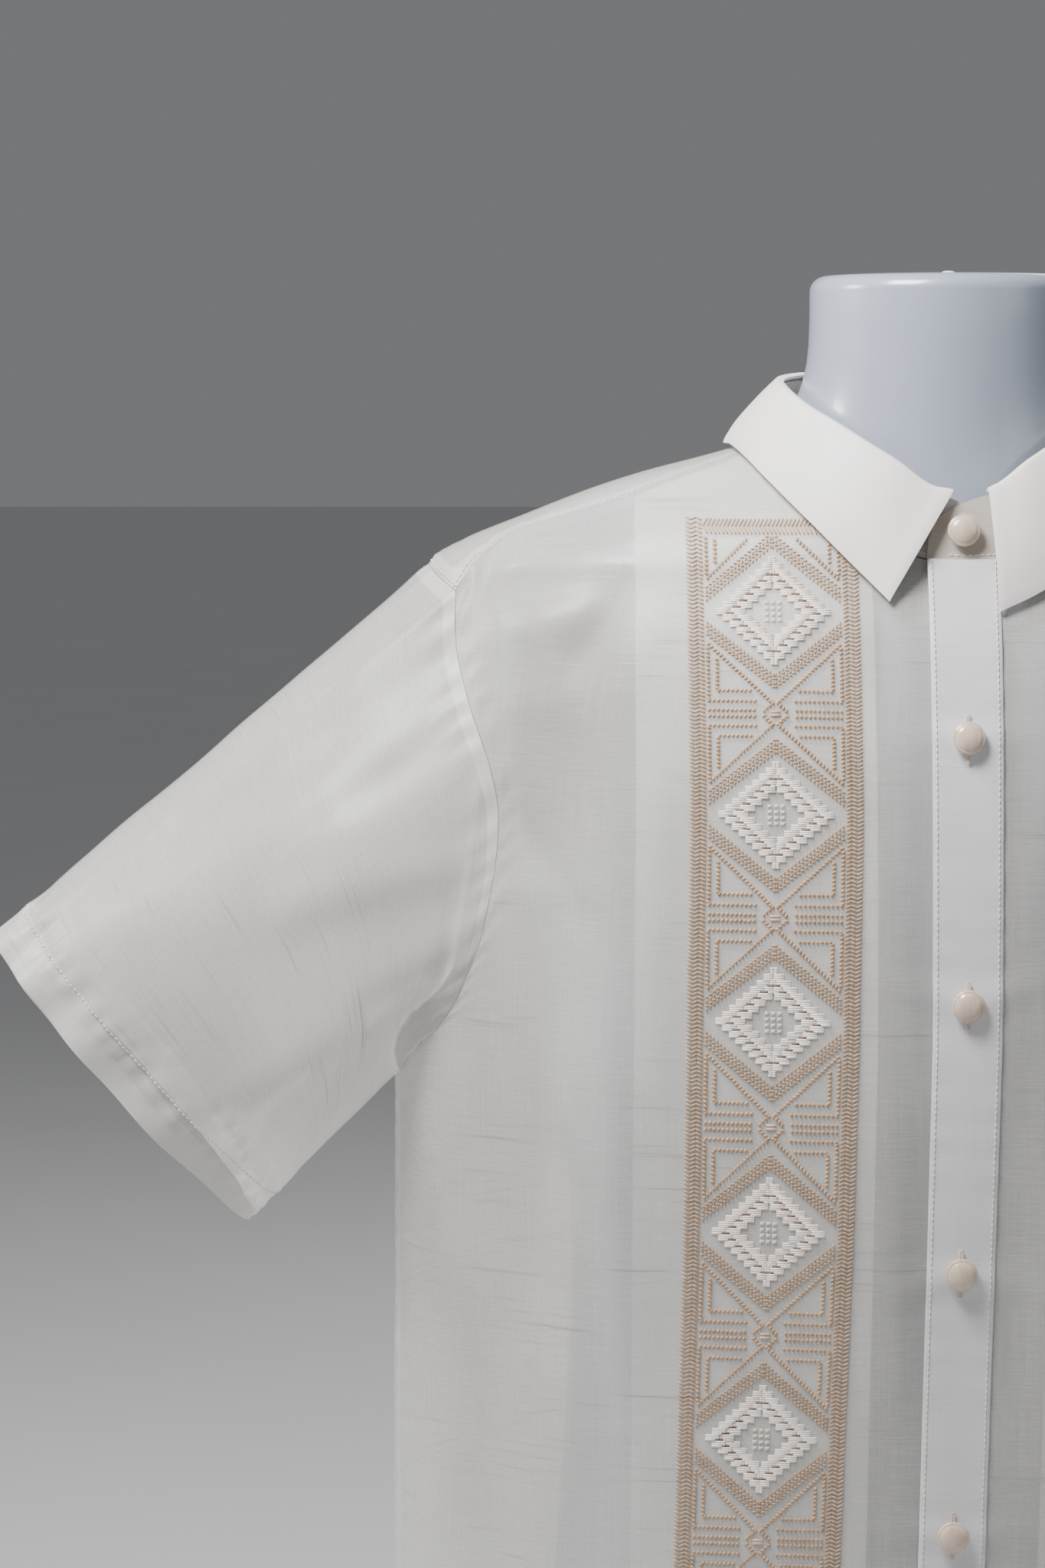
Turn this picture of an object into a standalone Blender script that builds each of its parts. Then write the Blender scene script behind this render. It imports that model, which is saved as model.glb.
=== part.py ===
"""Barong tagalog shirt on a limbless torso dress form.

Metres, +Z up. The origin is the middle of the form's flat foot, the front faces -Y
and the wearer's left is +X. The shirt's panels all lie on one smooth skin, which is a
stack of level outlines, and each seam is a curve on that skin which its two pieces share.
"""
import math

import bmesh
import bpy
import numpy as np
from mathutils import Matrix, Vector

# Driving dimensions
HEM_HEIGHT = 0.045
WALL = 0.0012
SEAM = 0.0003
FACING_WALL = 0.0010
BAND_WALL = 0.0010
STAND_WALL = 0.0015
LEAF_WALL = 0.0014

BAND_EDGE = 0.0140
FACING_START = 0.0360
FACING_EDGE = 0.1405
BAND_COLUMNS = slice(0, 2)
FACING_COLUMNS = slice(2, 9)
UNDERLAP_DROP = WALL + SEAM

SIDE_SEAM_ANGLE = -6.0
ARM_RIDGE_HEIGHT = 0.7570
UNDERARM_HEIGHT = 0.531
UNDERARM_ROW = 10
BACK_COLUMNS = 9
YOKE_NECK_TURN = 102.0

SLEEVE_TOP = (0.4280, 0.5905)
SLEEVE_LOW = (0.3115, 0.4605)
CUFF_HALF_DEPTH = 0.0490
CUFF_FORWARD = -0.0050
SLEEVE_HEM = 0.020
SLEEVE_LENGTH = 0.255
SLEEVE_SWELL = 0.016
HEM_RAISE = 0.0005

FOLD_HALF_WIDTH = 0.0780
FOLD_HALF_DEPTH = 0.0745
FOLD_CENTRE = -0.0025
STAND_INSET = 0.0033
STAND_DROP = 0.0028
LEAF_LEFT_TURN = 172.0
LEAF_RIGHT_TURN = 176.3
LEAF_RAISE = 0.0033

BUTTON_RADIUS = 0.0070
BUTTON_SIDES = 12
COLLAR_BUTTON_HEIGHT = 0.7740
BUTTON_HEIGHTS = (0.687, 0.575, 0.460, 0.345, 0.230, 0.115)

NECK_TOP = 0.8850
NECK_HALF_WIDTH = 0.0615
NECK_ROUNDING = 0.0070
FORM_SIDES = 40
FORM_LEVELS = (0.0, 0.045, 0.15, 0.25, 0.35, 0.45, 0.53, 0.60, 0.65, 0.70, 0.735, 0.757, 0.767,
               0.775, 0.783, 0.792, 0.802, 0.811)
FORM_TILT_START = 0.600
PIN_SIDES = 10


def table(columns, rows):
    """Keep rows of sizes under their column names."""
    names = columns.split()
    return {name: np.array([row[i] for row in rows], float) for i, name in enumerate(names)}


# The skin's level outlines, from the hem up to the neckline
SKIN = table("height half_width front back centre squareness", [
    (0.045, 0.2475, 0.1120, 0.1120, 0.000, 2.30),
    (0.200, 0.2475, 0.1120, 0.1140, 0.000, 2.30),
    (0.400, 0.2480, 0.1140, 0.1170, 0.000, 2.30),
    (0.531, 0.2475, 0.1170, 0.1190, 0.000, 2.30),
    (0.600, 0.2450, 0.1160, 0.1200, 0.001, 2.30),
    (0.660, 0.2420, 0.1120, 0.1200, 0.002, 2.25),
    (0.700, 0.2390, 0.1060, 0.1170, 0.004, 2.15),
    (0.730, 0.2355, 0.0990, 0.1120, 0.006, 2.05),
    (0.757, 0.2320, 0.0890, 0.1040, 0.008, 2.00),
    (0.769, 0.2143, 0.0840, 0.0990, 0.008, 2.00),
    (0.779, 0.1890, 0.0780, 0.0940, 0.008, 2.00),
    (0.797, 0.1407, 0.0650, 0.0850, 0.008, 2.00),
    (0.809, 0.0965, 0.0530, 0.0770, 0.008, 2.00),
    (0.820, 0.0700, 0.0450, 0.0690, 0.008, 2.00),
])

# The neckline's height by the turn round the neck, from the back to the front
NECKLINE = table("turn height", [
    (0, 0.8185), (45, 0.8170), (90, 0.8125), (110, 0.8065), (130, 0.7945), (152, 0.7770),
    (170, 0.7624), (180, 0.7618),
])

# The collar's fold, by the same turn
COLLAR_FOLD = table("turn height", [
    (0, 0.8445), (45, 0.8428), (90, 0.8388), (130, 0.8231), (157, 0.8050), (172, 0.7925), (180, 0.7915),
])

# The leaf's free edge on each side, as it is seen from the front
LEAF_EDGE_LEFT = table("turn across height", [
    (172, 0.0145, 0.7398), (150, 0.0340, 0.7490), (125, 0.0680, 0.7790), (97, 0.0957, 0.8085),
])
LEAF_EDGE_RIGHT = table("turn across height", [
    (176.3, 0.0322, 0.7440), (150, 0.0480, 0.7600), (125, 0.0680, 0.7800), (97, 0.0957, 0.8085),
])
LEAF_BACK_HEIGHT = 0.8090

# Seams on one side of the body, as seen from the front or the back
YOKE_FRONT_SEAM = table("across height", [
    (0.1059, 0.8022), (0.1405, 0.7888), (0.1686, 0.7800), (0.1910, 0.7735), (0.2055, 0.7640),
    (0.2190, 0.7464),
])
ARMHOLE_FRONT = table("across height", [
    (0.2190, 0.7464), (0.2185, 0.7220), (0.2130, 0.6990), (0.2045, 0.6710), (0.2020, 0.6400),
    (0.2058, 0.6050), (0.2145, 0.5800), (0.2270, 0.5560),
])
ARMHOLE_BACK = table("across height", [
    (0.2130, 0.7420), (0.2125, 0.7000), (0.2110, 0.6600), (0.2125, 0.6200), (0.2185, 0.5850),
    (0.2290, 0.5570),
])
YOKE_BACK_SEAM = table("across height", [
    (0.2130, 0.7420), (0.1500, 0.7450), (0.0750, 0.7465), (0.0000, 0.7470),
])

# Soft folds of the body cloth, troughs below zero and ridges above
BODY_FOLDS = table("x0 y0 z0 x1 y1 z1 width depth", [
    (-0.180, -0.09, 0.700, -0.190, -0.09, 0.520, 0.026, -0.0050),
    (-0.155, -0.10, 0.640, -0.150, -0.11, 0.360, 0.022, 0.0030),
    (-0.205, -0.07, 0.540, -0.200, -0.08, 0.250, 0.024, -0.0040),
    (-0.190, -0.08, 0.300, -0.215, -0.06, 0.060, 0.030, -0.0045),
    (0.185, -0.09, 0.700, 0.180, -0.09, 0.500, 0.024, -0.0045),
    (0.160, -0.10, 0.620, 0.168, -0.10, 0.330, 0.024, 0.0030),
    (0.215, -0.06, 0.520, 0.198, -0.08, 0.220, 0.026, -0.0045),
    (0.170, 0.09, 0.720, 0.185, 0.09, 0.480, 0.026, -0.0050),
    (-0.175, 0.09, 0.720, -0.180, 0.09, 0.430, 0.028, -0.0050),
    (0.085, 0.11, 0.640, 0.110, 0.11, 0.120, 0.032, -0.0060),
    (-0.095, 0.11, 0.600, -0.080, 0.11, 0.080, 0.030, -0.0055),
    (0.010, 0.12, 0.560, -0.010, 0.12, 0.200, 0.034, 0.0035),
])

# Soft folds of a sleeve: place round it from the top (0) by the underarm (1) and on, and along it
SLEEVE_FOLDS = table("round0 along0 round1 along1 width depth", [
    (0.62, 0.05, 0.48, 0.55, 0.13, -0.0060),
    (0.82, 0.03, 0.80, 0.45, 0.12, -0.0040),
    (0.38, 0.35, 0.30, 0.85, 0.14, 0.0040),
    (1.25, 0.05, 1.42, 0.60, 0.14, -0.0060),
    (1.62, 0.20, 1.55, 0.85, 0.15, 0.0040),
])

# How far the torso form stays from the cloth at the sides, front and back
FORM_GAP = table("height side front back reach", [
    (0.045, 0.0600, 0.0100, 0.0090, 0.110),
    (0.150, 0.0580, 0.0120, 0.0080, 0.110),
    (0.300, 0.0720, 0.0200, 0.0200, 0.110),
    (0.450, 0.0800, 0.0200, 0.0280, 0.100),
    (0.560, 0.0660, 0.0120, 0.0120, 0.090),
    (0.650, 0.0470, 0.0060, 0.0090, 0.075),
    (0.700, 0.0390, 0.0055, 0.0080, 0.065),
    (0.740, 0.0330, 0.0055, 0.0060, 0.055),
    (0.757, 0.0300, 0.0065, 0.0040, 0.045),
    (0.769, 0.0140, 0.0080, 0.0030, 0.030),
    (0.777, 0.0030, 0.0085, 0.0020, 0.022),
    (0.785, 0.0009, 0.0085, 0.0014, 0.018),
    (0.820, 0.0009, 0.0085, 0.0014, 0.018),
])


def between(rows, key, column, at):
    """Read a column smoothly between its rows, without overshoot."""
    x = rows[key]
    y = rows[column]
    rise = np.diff(y) / np.diff(x)
    lean = np.zeros_like(y)
    lean[0] = rise[0]
    lean[-1] = rise[-1]
    for i in range(1, len(x) - 1):
        if rise[i - 1] * rise[i] > 0:
            lean[i] = 2 * rise[i - 1] * rise[i] / (rise[i - 1] + rise[i])
    at = np.clip(at, x[0], x[-1])
    i = np.clip(np.searchsorted(x, at) - 1, 0, len(x) - 2)
    span = x[i + 1] - x[i]
    t = (at - x[i]) / span
    start = (1 + 2 * t) * (1 - t) ** 2 * y[i] + t * (1 - t) ** 2 * span * lean[i]
    end = t * t * (3 - 2 * t) * y[i + 1] - t * t * (1 - t) * span * lean[i + 1]
    return start + end


def ease(value, low, high):
    """Rise softly from 0 at low to 1 at high."""
    t = np.clip((value - low) / (high - low), 0, 1)
    return t * t * (3 - 2 * t)


def unit(vectors):
    """Vectors of length one."""
    return vectors / np.maximum(np.linalg.norm(vectors, axis=-1, keepdims=True), 1e-12)


def skin_value(points):
    """Below zero inside the skin, zero on it and above zero outside."""
    height = points[..., 2]
    y = points[..., 1] - between(SKIN, "height", "centre", height)
    width = between(SKIN, "height", "half_width", height)
    front = between(SKIN, "height", "front", height)
    back = between(SKIN, "height", "back", height)
    depth = np.where(y < 0, front, back)
    power = between(SKIN, "height", "squareness", height)
    across = (np.abs(points[..., 0]) / width) ** power
    along = (np.abs(y) / depth) ** power
    return (across + along) ** (1 / power) - 1


def skin_slope(points):
    """The way in which skin_value rises fastest."""
    step = 1e-5
    slope = np.zeros_like(points)
    for axis in range(3):
        shift = np.zeros(3)
        shift[axis] = step
        slope[..., axis] = (skin_value(points + shift) - skin_value(points - shift)) / (2 * step)
    return slope


def onto_skin(points):
    """Draw points along the slope onto the skin."""
    points = np.array(points, float)
    for _ in range(8):
        slope = skin_slope(points)
        length = np.maximum((slope ** 2).sum(axis=-1, keepdims=True), 1e-9)
        points = points - skin_value(points)[..., None] * slope / length
    return points


def outward(points):
    """The skin's own outward direction at points."""
    return unit(skin_slope(points))


def seen(across, height, facing):
    """Point of the skin seen at a place from the front (-1) or the back (+1)."""
    depth = between(SKIN, "height", "front" if facing < 0 else "back", height)
    width = between(SKIN, "height", "half_width", height)
    power = between(SKIN, "height", "squareness", height)
    rest = np.clip(1 - (np.abs(across) / width) ** power, 0, 1)
    y = between(SKIN, "height", "centre", height) + facing * depth * rest ** (1 / power)
    return np.stack(np.broadcast_arrays(across, y, height), axis=-1)


def round_skin(angle, height):
    """Point of the skin at an angle round it in degrees: 0 wearer's left, 90 back."""
    turn = np.radians(angle)
    c = np.cos(turn)
    s = np.sin(turn)
    width = between(SKIN, "height", "half_width", height)
    front = between(SKIN, "height", "front", height)
    back = between(SKIN, "height", "back", height)
    depth = np.where(s < 0, front, back)
    power = between(SKIN, "height", "squareness", height)
    radius = ((np.abs(c) / width) ** power + (np.abs(s) / depth) ** power) ** (-1 / power)
    y = between(SKIN, "height", "centre", height) + radius * s
    return np.stack(np.broadcast_arrays(radius * c, y, height), axis=-1)


def neck_point(turn):
    """Point of the neckline: turn 0 is the back, 90 the wearer's left, 180 the front."""
    turn = np.asarray(turn, float)
    size = np.abs(turn)
    size = np.where(size > 180, 360 - size, size)
    return round_skin(90 - turn, between(NECKLINE, "turn", "height", size))


def spread(points, count):
    """Evenly spaced points on the skin along a smooth curve through some of its points."""
    points = np.array(points, float)
    ends = np.vstack([2 * points[0] - points[1], points, 2 * points[-1] - points[-2]])
    dense = []
    for i in range(1, len(ends) - 2):
        a, b, c, d = ends[i - 1:i + 3]
        for t in np.linspace(0, 1, 16, endpoint=False):
            dense.append(0.5 * (2 * b + (c - a) * t + (2 * a - 5 * b + 4 * c - d) * t ** 2
                                + (3 * b - a - 3 * c + d) * t ** 3))
    dense.append(points[-1])
    dense = onto_skin(np.array(dense))
    walked = np.concatenate([[0], np.cumsum(np.linalg.norm(np.diff(dense, axis=0), axis=1))])
    places = np.linspace(0, walked[-1], count + 1)
    even = np.stack([np.interp(places, walked, dense[:, axis]) for axis in range(3)], axis=1)
    return onto_skin(even)


def fill(bottom, top, left, right):
    """Grid of points on the skin between four edges that share their corners."""
    u = np.linspace(0, 1, len(bottom))[None, :, None]
    v = np.linspace(0, 1, len(left))[:, None, None]
    upward = (1 - v) * bottom[None] + v * top[None]
    sideways = (1 - u) * left[:, None] + u * right[:, None]
    corners = ((1 - u) * (1 - v) * bottom[0] + u * (1 - v) * bottom[-1]
               + (1 - u) * v * top[0] + u * v * top[-1])
    return onto_skin(upward + sideways - corners)


def draw_back(grid, *edges):
    """Move named edges of a panel half a seam's gap into the panel."""
    moved = grid.copy()
    rows = {"bottom": (0, 1), "top": (-1, -2)}
    for edge in edges:
        if edge in rows:
            line, inside = moved[rows[edge][0]], moved[rows[edge][1]]
        else:
            place = (0, 1) if edge == "left" else (-1, -2)
            line, inside = moved[:, place[0]], moved[:, place[1]]
        run = unit(np.gradient(line, axis=0))
        inward = inside - line
        inward = inward - (inward * run).sum(axis=-1, keepdims=True) * run
        line += unit(inward) * SEAM / 2
    return moved


def fold_depth(points):
    """How far the body's soft folds lift the cloth at points."""
    lift = np.zeros(points.shape[:-1])
    for i in range(len(BODY_FOLDS["depth"])):
        start = np.array([BODY_FOLDS[name][i] for name in ("x0", "y0", "z0")])
        end = np.array([BODY_FOLDS[name][i] for name in ("x1", "y1", "z1")])
        start = onto_skin(start)
        end = onto_skin(end)
        line = end - start
        share = ((points - start) @ line) / (line @ line)
        inside = np.clip(share, 0, 1)
        far = np.linalg.norm(points - start - inside[..., None] * line, axis=-1)
        taper = np.sin(np.pi * np.clip(0.08 + 0.84 * inside, 0, 1))
        lift += BODY_FOLDS["depth"][i] * taper * np.exp(-(far / BODY_FOLDS["width"][i]) ** 2)
    return lift


def mirrored(points):
    """The same points on the body's other side."""
    return points * np.array([-1.0, 1.0, 1.0])


def new_material(name, colour, roughness, sheen=0.0, coat=0.0):
    """A plain finish for a node."""
    material = bpy.data.materials.new(name)
    material.use_nodes = True
    shader = material.node_tree.nodes["Principled BSDF"]
    shader.inputs["Base Color"].default_value = (*colour, 1.0)
    shader.inputs["Roughness"].default_value = roughness
    shader.inputs["Metallic"].default_value = 0.0
    shader.inputs["Sheen Weight"].default_value = sheen
    shader.inputs["Coat Weight"].default_value = coat
    return material


def new_node(name, points, faces, material):
    """Make one closed body, with its faces outwards."""
    mesh = bpy.data.meshes.new(name)
    shape = bmesh.new()
    corners = [shape.verts.new(Vector(point)) for point in points]
    for face in faces:
        shape.faces.new([corners[i] for i in face])
    if shape.calc_volume(signed=True) < 0:
        bmesh.ops.reverse_faces(shape, faces=shape.faces)
    shape.to_mesh(mesh)
    shape.free()
    mesh.materials.append(material)
    mesh.shade_smooth()
    mesh.set_sharp_from_angle(angle=math.radians(40))
    node = bpy.data.objects.new(name, mesh)
    bpy.context.scene.collection.objects.link(node)
    return node


def wall_node(name, outer, inner, material, tube=False):
    """A wall between an outer and an inner grid, which may close round as a tube."""
    rows, columns = outer.shape[:2]
    count = rows * columns
    points = np.concatenate([outer.reshape(-1, 3), inner.reshape(-1, 3)])
    faces = []
    last = columns if tube else columns - 1
    for i in range(rows - 1):
        for j in range(last):
            k = (j + 1) % columns
            a, b, c, d = i * columns + j, i * columns + k, (i + 1) * columns + k, (i + 1) * columns + j
            faces.append((a, b, c))
            faces.append((a, c, d))
            faces.append((count + c, count + b, count + a))
            faces.append((count + d, count + c, count + a))
    for j in range(last):
        k = (j + 1) % columns
        low, high = j, k
        faces.append((high, low, count + low, count + high))
        low, high = (rows - 1) * columns + j, (rows - 1) * columns + k
        faces.append((low, high, count + high, count + low))
    if not tube:
        for i in range(rows - 1):
            low, high = i * columns, (i + 1) * columns
            faces.append((low, high, count + high, count + low))
            low, high = low + columns - 1, high + columns - 1
            faces.append((high, low, count + low, count + high))
    return new_node(name, points, faces, material)


def side_seam():
    """The side seam's points from the hem up to the underarm."""
    heights = np.linspace(HEM_HEIGHT, UNDERARM_HEIGHT, UNDERARM_ROW + 1)
    return round_skin(SIDE_SEAM_ANGLE, heights)


def seam_points(rows, facing, extra_first=None, extra_last=None):
    """The skin's points along a seam's table."""
    points = list(seen(rows["across"], rows["height"], facing))
    if extra_first is not None:
        points.insert(0, extra_first)
    if extra_last is not None:
        points.append(extra_last)
    return np.array(points)


def closure_turn(across):
    """The turn round the neck at which the neckline lies a distance across the front."""
    return 180 - math.degrees(math.asin(across / abs(float(neck_point(180.0)[1]))))


def neck_turns():
    """Turns of the points that the neckline's pieces share, from the back to the lap's edge."""
    back_part = np.linspace(0, 48, BACK_COLUMNS + 1)
    side_part = np.linspace(48, YOKE_NECK_TURN, 7)
    front_part = np.linspace(YOKE_NECK_TURN, closure_turn(FACING_START), 5)
    lap_part = [closure_turn(BAND_EDGE), closure_turn(-BAND_EDGE)]
    return np.concatenate([back_part, side_part[1:], front_part[1:], lap_part])


def neck_edge(turns):
    """Points of the neckline's sewn edge, which runs straight between its shared points."""
    shared = neck_turns()
    places = neck_point(shared)
    size = np.abs(turns)
    edge = np.stack([np.interp(size, shared, places[:, axis]) for axis in range(3)], axis=-1)
    edge[..., 0] *= np.where(np.asarray(turns) < 0, -1.0, 1.0)
    return edge


def body_seams():
    """Every seam curve of the wearer's left half, each shared by its two pieces."""
    underarm = round_skin(SIDE_SEAM_ANGLE, UNDERARM_HEIGHT)
    neck_corner = neck_point(YOKE_NECK_TURN)
    ridge = round_skin(0.0, ARM_RIDGE_HEIGHT)
    yoke_front = seam_points(YOKE_FRONT_SEAM, -1, extra_first=neck_corner)
    inner_part = spread(yoke_front[:3], 2)
    outer_part = spread(yoke_front[2:], 5)
    yoke_front = np.vstack([inner_part, outer_part[1:]])
    armhole_front = spread(seam_points(ARMHOLE_FRONT, -1, extra_last=underarm), 10)
    armhole_back = spread(seam_points(ARMHOLE_BACK, 1, extra_last=underarm), 10)
    over = spread([armhole_front[0], ridge, armhole_back[0]], 6)
    yoke_back = spread(seam_points(YOKE_BACK_SEAM, 1), BACK_COLUMNS)
    armhole_front[0] = yoke_front[-1]
    over[0] = yoke_front[-1]
    over[-1] = armhole_back[0]
    yoke_back[0] = armhole_back[0]
    return {"side": side_seam(), "yoke_front": yoke_front, "armhole_front": armhole_front,
            "armhole_back": armhole_back, "armhole_over": over, "yoke_back": yoke_back}


def upright_line(across, top, heights_share, facing=-1):
    """A line of the cloth that hangs straight down from a point of its top edge."""
    heights = HEM_HEIGHT + (top[2] - HEM_HEIGHT) * heights_share
    xs = top[0] + (across - top[0]) * (1 - heights_share) ** 0.5
    line = seen(xs, heights, facing)
    line[-1] = top
    return line


def front_grid(seams):
    """Points of the wearer's left front, from the closure to the side, and its column places."""
    edge = np.vstack([seams["side"], seams["armhole_front"][::-1][1:]])
    share = (edge[:, 2] - HEM_HEIGHT) / (edge[-1, 2] - HEM_HEIGHT)
    lines = []
    for across in (-BAND_EDGE, BAND_EDGE, FACING_START):
        lines.append(upright_line(across, neck_point(closure_turn(across)), share))
    lines.append(upright_line(FACING_EDGE, seams["yoke_front"][2], share))
    neck_part = neck_point(np.linspace(closure_turn(FACING_START), YOKE_NECK_TURN, 5))
    top_inner = np.vstack([neck_part, seams["yoke_front"][1:3]])
    tops = [np.array([lines[0][-1], lines[1][-1]]), np.array([lines[1][-1], lines[2][-1]]),
            top_inner, seams["yoke_front"][2:]]
    rights = lines[1:] + [edge]
    grid = None
    for left, right, top in zip(lines, rights, tops):
        count = len(top) - 1
        bottom = spread([left[0], 0.5 * (left[0] + right[0]), right[0]], count)
        bottom[0] = left[0]
        bottom[-1] = right[0]
        patch = fill(bottom, top, left, right)
        grid = patch if grid is None else np.concatenate([grid, patch[:, 1:]], axis=1)
    return grid


def back_grid(seams):
    """Points of the back below the yoke, from the wearer's left to the right."""
    left = np.vstack([seams["side"], seams["armhole_back"][::-1][1:]])
    top = seams["yoke_back"]
    share = (left[:, 2] - HEM_HEIGHT) / (left[-1, 2] - HEM_HEIGHT)
    heights = HEM_HEIGHT + (top[-1][2] - HEM_HEIGHT) * share
    middle = seen(np.zeros(len(heights)), heights, 1)
    hem_line = round_skin(np.linspace(SIDE_SEAM_ANGLE, 90, 9), HEM_HEIGHT)
    bottom = spread(hem_line, BACK_COLUMNS)
    bottom[0] = left[0]
    bottom[-1] = middle[0]
    half = fill(bottom, top, left, middle)
    other = mirrored(half)[:, ::-1]
    return np.concatenate([half, other[:, 1:]], axis=1)


def yoke_grid(seams):
    """Points of the yoke, from one front seam round behind the neck to the other."""
    outer_left = np.vstack([seams["armhole_over"], seams["yoke_back"][1:]])
    turns = neck_turns()[:BACK_COLUMNS + 7][::-1]
    inner_left = neck_point(turns)
    middle_start = seams["yoke_front"]
    spine = spread([inner_left[-1], 0.5 * (inner_left[-1] + outer_left[-1]), outer_left[-1]], 7)
    half = fill(inner_left, outer_left, middle_start, spine)
    other = mirrored(half)[:, ::-1]
    return np.concatenate([half, other[:, 1:]], axis=1)


def panel_walls(grid, wall, drop=0.0):
    """Outer and inner points of a panel that lies on the skin."""
    away = outward(grid)
    lift = fold_depth(grid) - drop
    outer = grid + away * lift[..., None]
    return outer, outer - away * wall


def underlap_drop(grid):
    """How far the under front sinks below the upper one near the closure."""
    drop = np.zeros(grid.shape[:2])
    drop[:, BAND_COLUMNS] = UNDERLAP_DROP
    return drop


def build_fronts(seams, cloth, backing, band_cloth):
    """Both fronts, their facings and the band on the upper front."""
    left = draw_back(front_grid(seams), "right", "top")
    left[UNDERARM_ROW, -1, 2] -= SEAM / 2
    outer, inner = panel_walls(left, WALL)
    wall_node("front_left", outer, inner, cloth)
    away = outward(left)
    facing_out = inner[:, FACING_COLUMNS] - away[:, FACING_COLUMNS] * SEAM
    facing_in = facing_out - away[:, FACING_COLUMNS] * FACING_WALL
    wall_node("facing_left", facing_out, facing_in, backing)
    band_in = outer[:, BAND_COLUMNS] + away[:, BAND_COLUMNS] * SEAM
    band_out = band_in + away[:, BAND_COLUMNS] * BAND_WALL
    wall_node("front_band", band_out, band_in, band_cloth)

    right = mirrored(left)
    outer, inner = panel_walls(right, WALL, underlap_drop(right))
    wall_node("front_right", outer, inner, cloth)
    away = outward(right)
    facing_out = inner[:, FACING_COLUMNS] - away[:, FACING_COLUMNS] * SEAM
    facing_in = facing_out - away[:, FACING_COLUMNS] * FACING_WALL
    wall_node("facing_right", facing_out, facing_in, backing)


def armhole_ring(seams):
    """The armhole's points from its top down the front, under the arm and up the back."""
    over = seams["armhole_over"]
    front_half = over[:4][::-1]
    ring = np.vstack([front_half, seams["armhole_front"][1:], seams["armhole_back"][::-1][1:],
                      over[3:][::-1][1:-1]])
    return ring


def sleeve_rings(ring):
    """Points of a sleeve, ring by ring from the armhole to the cuff, and each ring's place along."""
    after = np.roll(ring, -1, axis=0)
    before = np.roll(ring, 1, axis=0)
    run = unit(after - before)
    into_hole = unit(np.cross(run, outward(ring)))
    middle = ring.mean(axis=0)
    side = np.sign(((middle - ring) * into_hole).sum(axis=-1, keepdims=True))
    start = ring + into_hole * side * SEAM / 2
    underarm = int(np.argmin(ring[:, 2]))
    steps = np.linalg.norm(after - ring, axis=1)
    front_walk = np.cumsum(np.concatenate([[0], steps[:underarm]]))
    back_walk = np.cumsum(np.concatenate([[0], steps[underarm:]]))
    share = np.concatenate([front_walk / front_walk[-1], 1 + (back_walk / back_walk[-1])[1:-1]])
    angle = np.pi * share
    top = np.array([SLEEVE_TOP[0], CUFF_FORWARD, SLEEVE_TOP[1]])
    low = np.array([SLEEVE_LOW[0], CUFF_FORWARD, SLEEVE_LOW[1]])
    centre = 0.5 * (top + low)
    reach = top - centre
    forward = np.array([0.0, -CUFF_HALF_DEPTH, 0.0])
    cuff = centre + np.cos(angle)[:, None] * reach + np.sin(angle)[:, None] * forward
    hem = 1 - SLEEVE_HEM / SLEEVE_LENGTH
    along = np.array([0, 0.05, 0.13, 0.25, 0.40, 0.56, 0.74, hem - 0.006, hem, 1.0])
    rings = []
    for t in along:
        points = (1 - t) * start + t * cuff
        swell = SLEEVE_SWELL * math.sin(math.pi * min(1.0, t * 1.05)) ** 1.2 if t > 0 else 0.0
        points = points + np.sin(angle)[:, None] * np.array([0.0, -1.0, 0.0]) * swell
        rings.append(points)
    return np.array(rings), along, share, start


def sleeve_fold_lift(share, along):
    """How far the sleeve's soft folds lift its cloth."""
    lift = np.zeros((len(along), len(share)))
    for i in range(len(SLEEVE_FOLDS["depth"])):
        round0, along0, round1, along1 = (SLEEVE_FOLDS[name][i]
                                          for name in ("round0", "along0", "round1", "along1"))
        for row, t in enumerate(along):
            place = np.clip((t - along0) / (along1 - along0), 0, 1)
            centre = round0 + (round1 - round0) * place
            beyond = max(along0 - t, t - along1, 0.0)
            fade = math.exp(-(beyond / 0.12) ** 2) * float(ease(t, 0.0, 0.12))
            gap = np.abs((share - centre + 1) % 2 - 1)
            lift[row] += (SLEEVE_FOLDS["depth"][i] * fade
                          * np.exp(-(gap / SLEEVE_FOLDS["width"][i]) ** 2))
    return lift


def build_sleeve(name, seams, side, cloth):
    """A sleeve that is filled out, with its hem turned up and open at both ends."""
    rings, along, share, start = sleeve_rings(armhole_ring(seams))
    round_way = np.roll(rings, -1, axis=1) - np.roll(rings, 1, axis=1)
    down_way = np.gradient(rings, axis=0)
    normal = unit(np.cross(round_way, down_way))
    middle = rings.mean(axis=1, keepdims=True)
    if ((rings - middle) * normal).sum() < 0:
        normal = -normal
    likeness = 0.5 + 0.25 * np.cos(np.pi * share)[:, None]
    normal[0] = unit(likeness * outward(start) + (1 - likeness) * normal[0])
    lift = sleeve_fold_lift(share, along)
    lift[-2:] += HEM_RAISE
    outer = rings + normal * lift[..., None]
    thick = np.full(lift.shape, WALL)
    thick[-2:] += HEM_RAISE
    inner = outer - normal * thick[..., None]
    if side < 0:
        outer = mirrored(outer)
        inner = mirrored(inner)
    wall_node(name, outer, inner, cloth, tube=True)


def fold_point(turn, inset=0.0, drop=0.0):
    """Point of the collar's fold line, or one set in from it and below it."""
    turn = np.asarray(turn, float)
    size = np.abs(turn)
    size = np.where(size > 180, 360 - size, size)
    angle = np.radians(turn)
    x = (FOLD_HALF_WIDTH - inset) * np.sin(angle)
    y = FOLD_CENTRE + (FOLD_HALF_DEPTH - inset) * np.cos(angle)
    height = between(COLLAR_FOLD, "turn", "height", size) - drop
    return np.stack([x, y, height], axis=-1)


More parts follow.
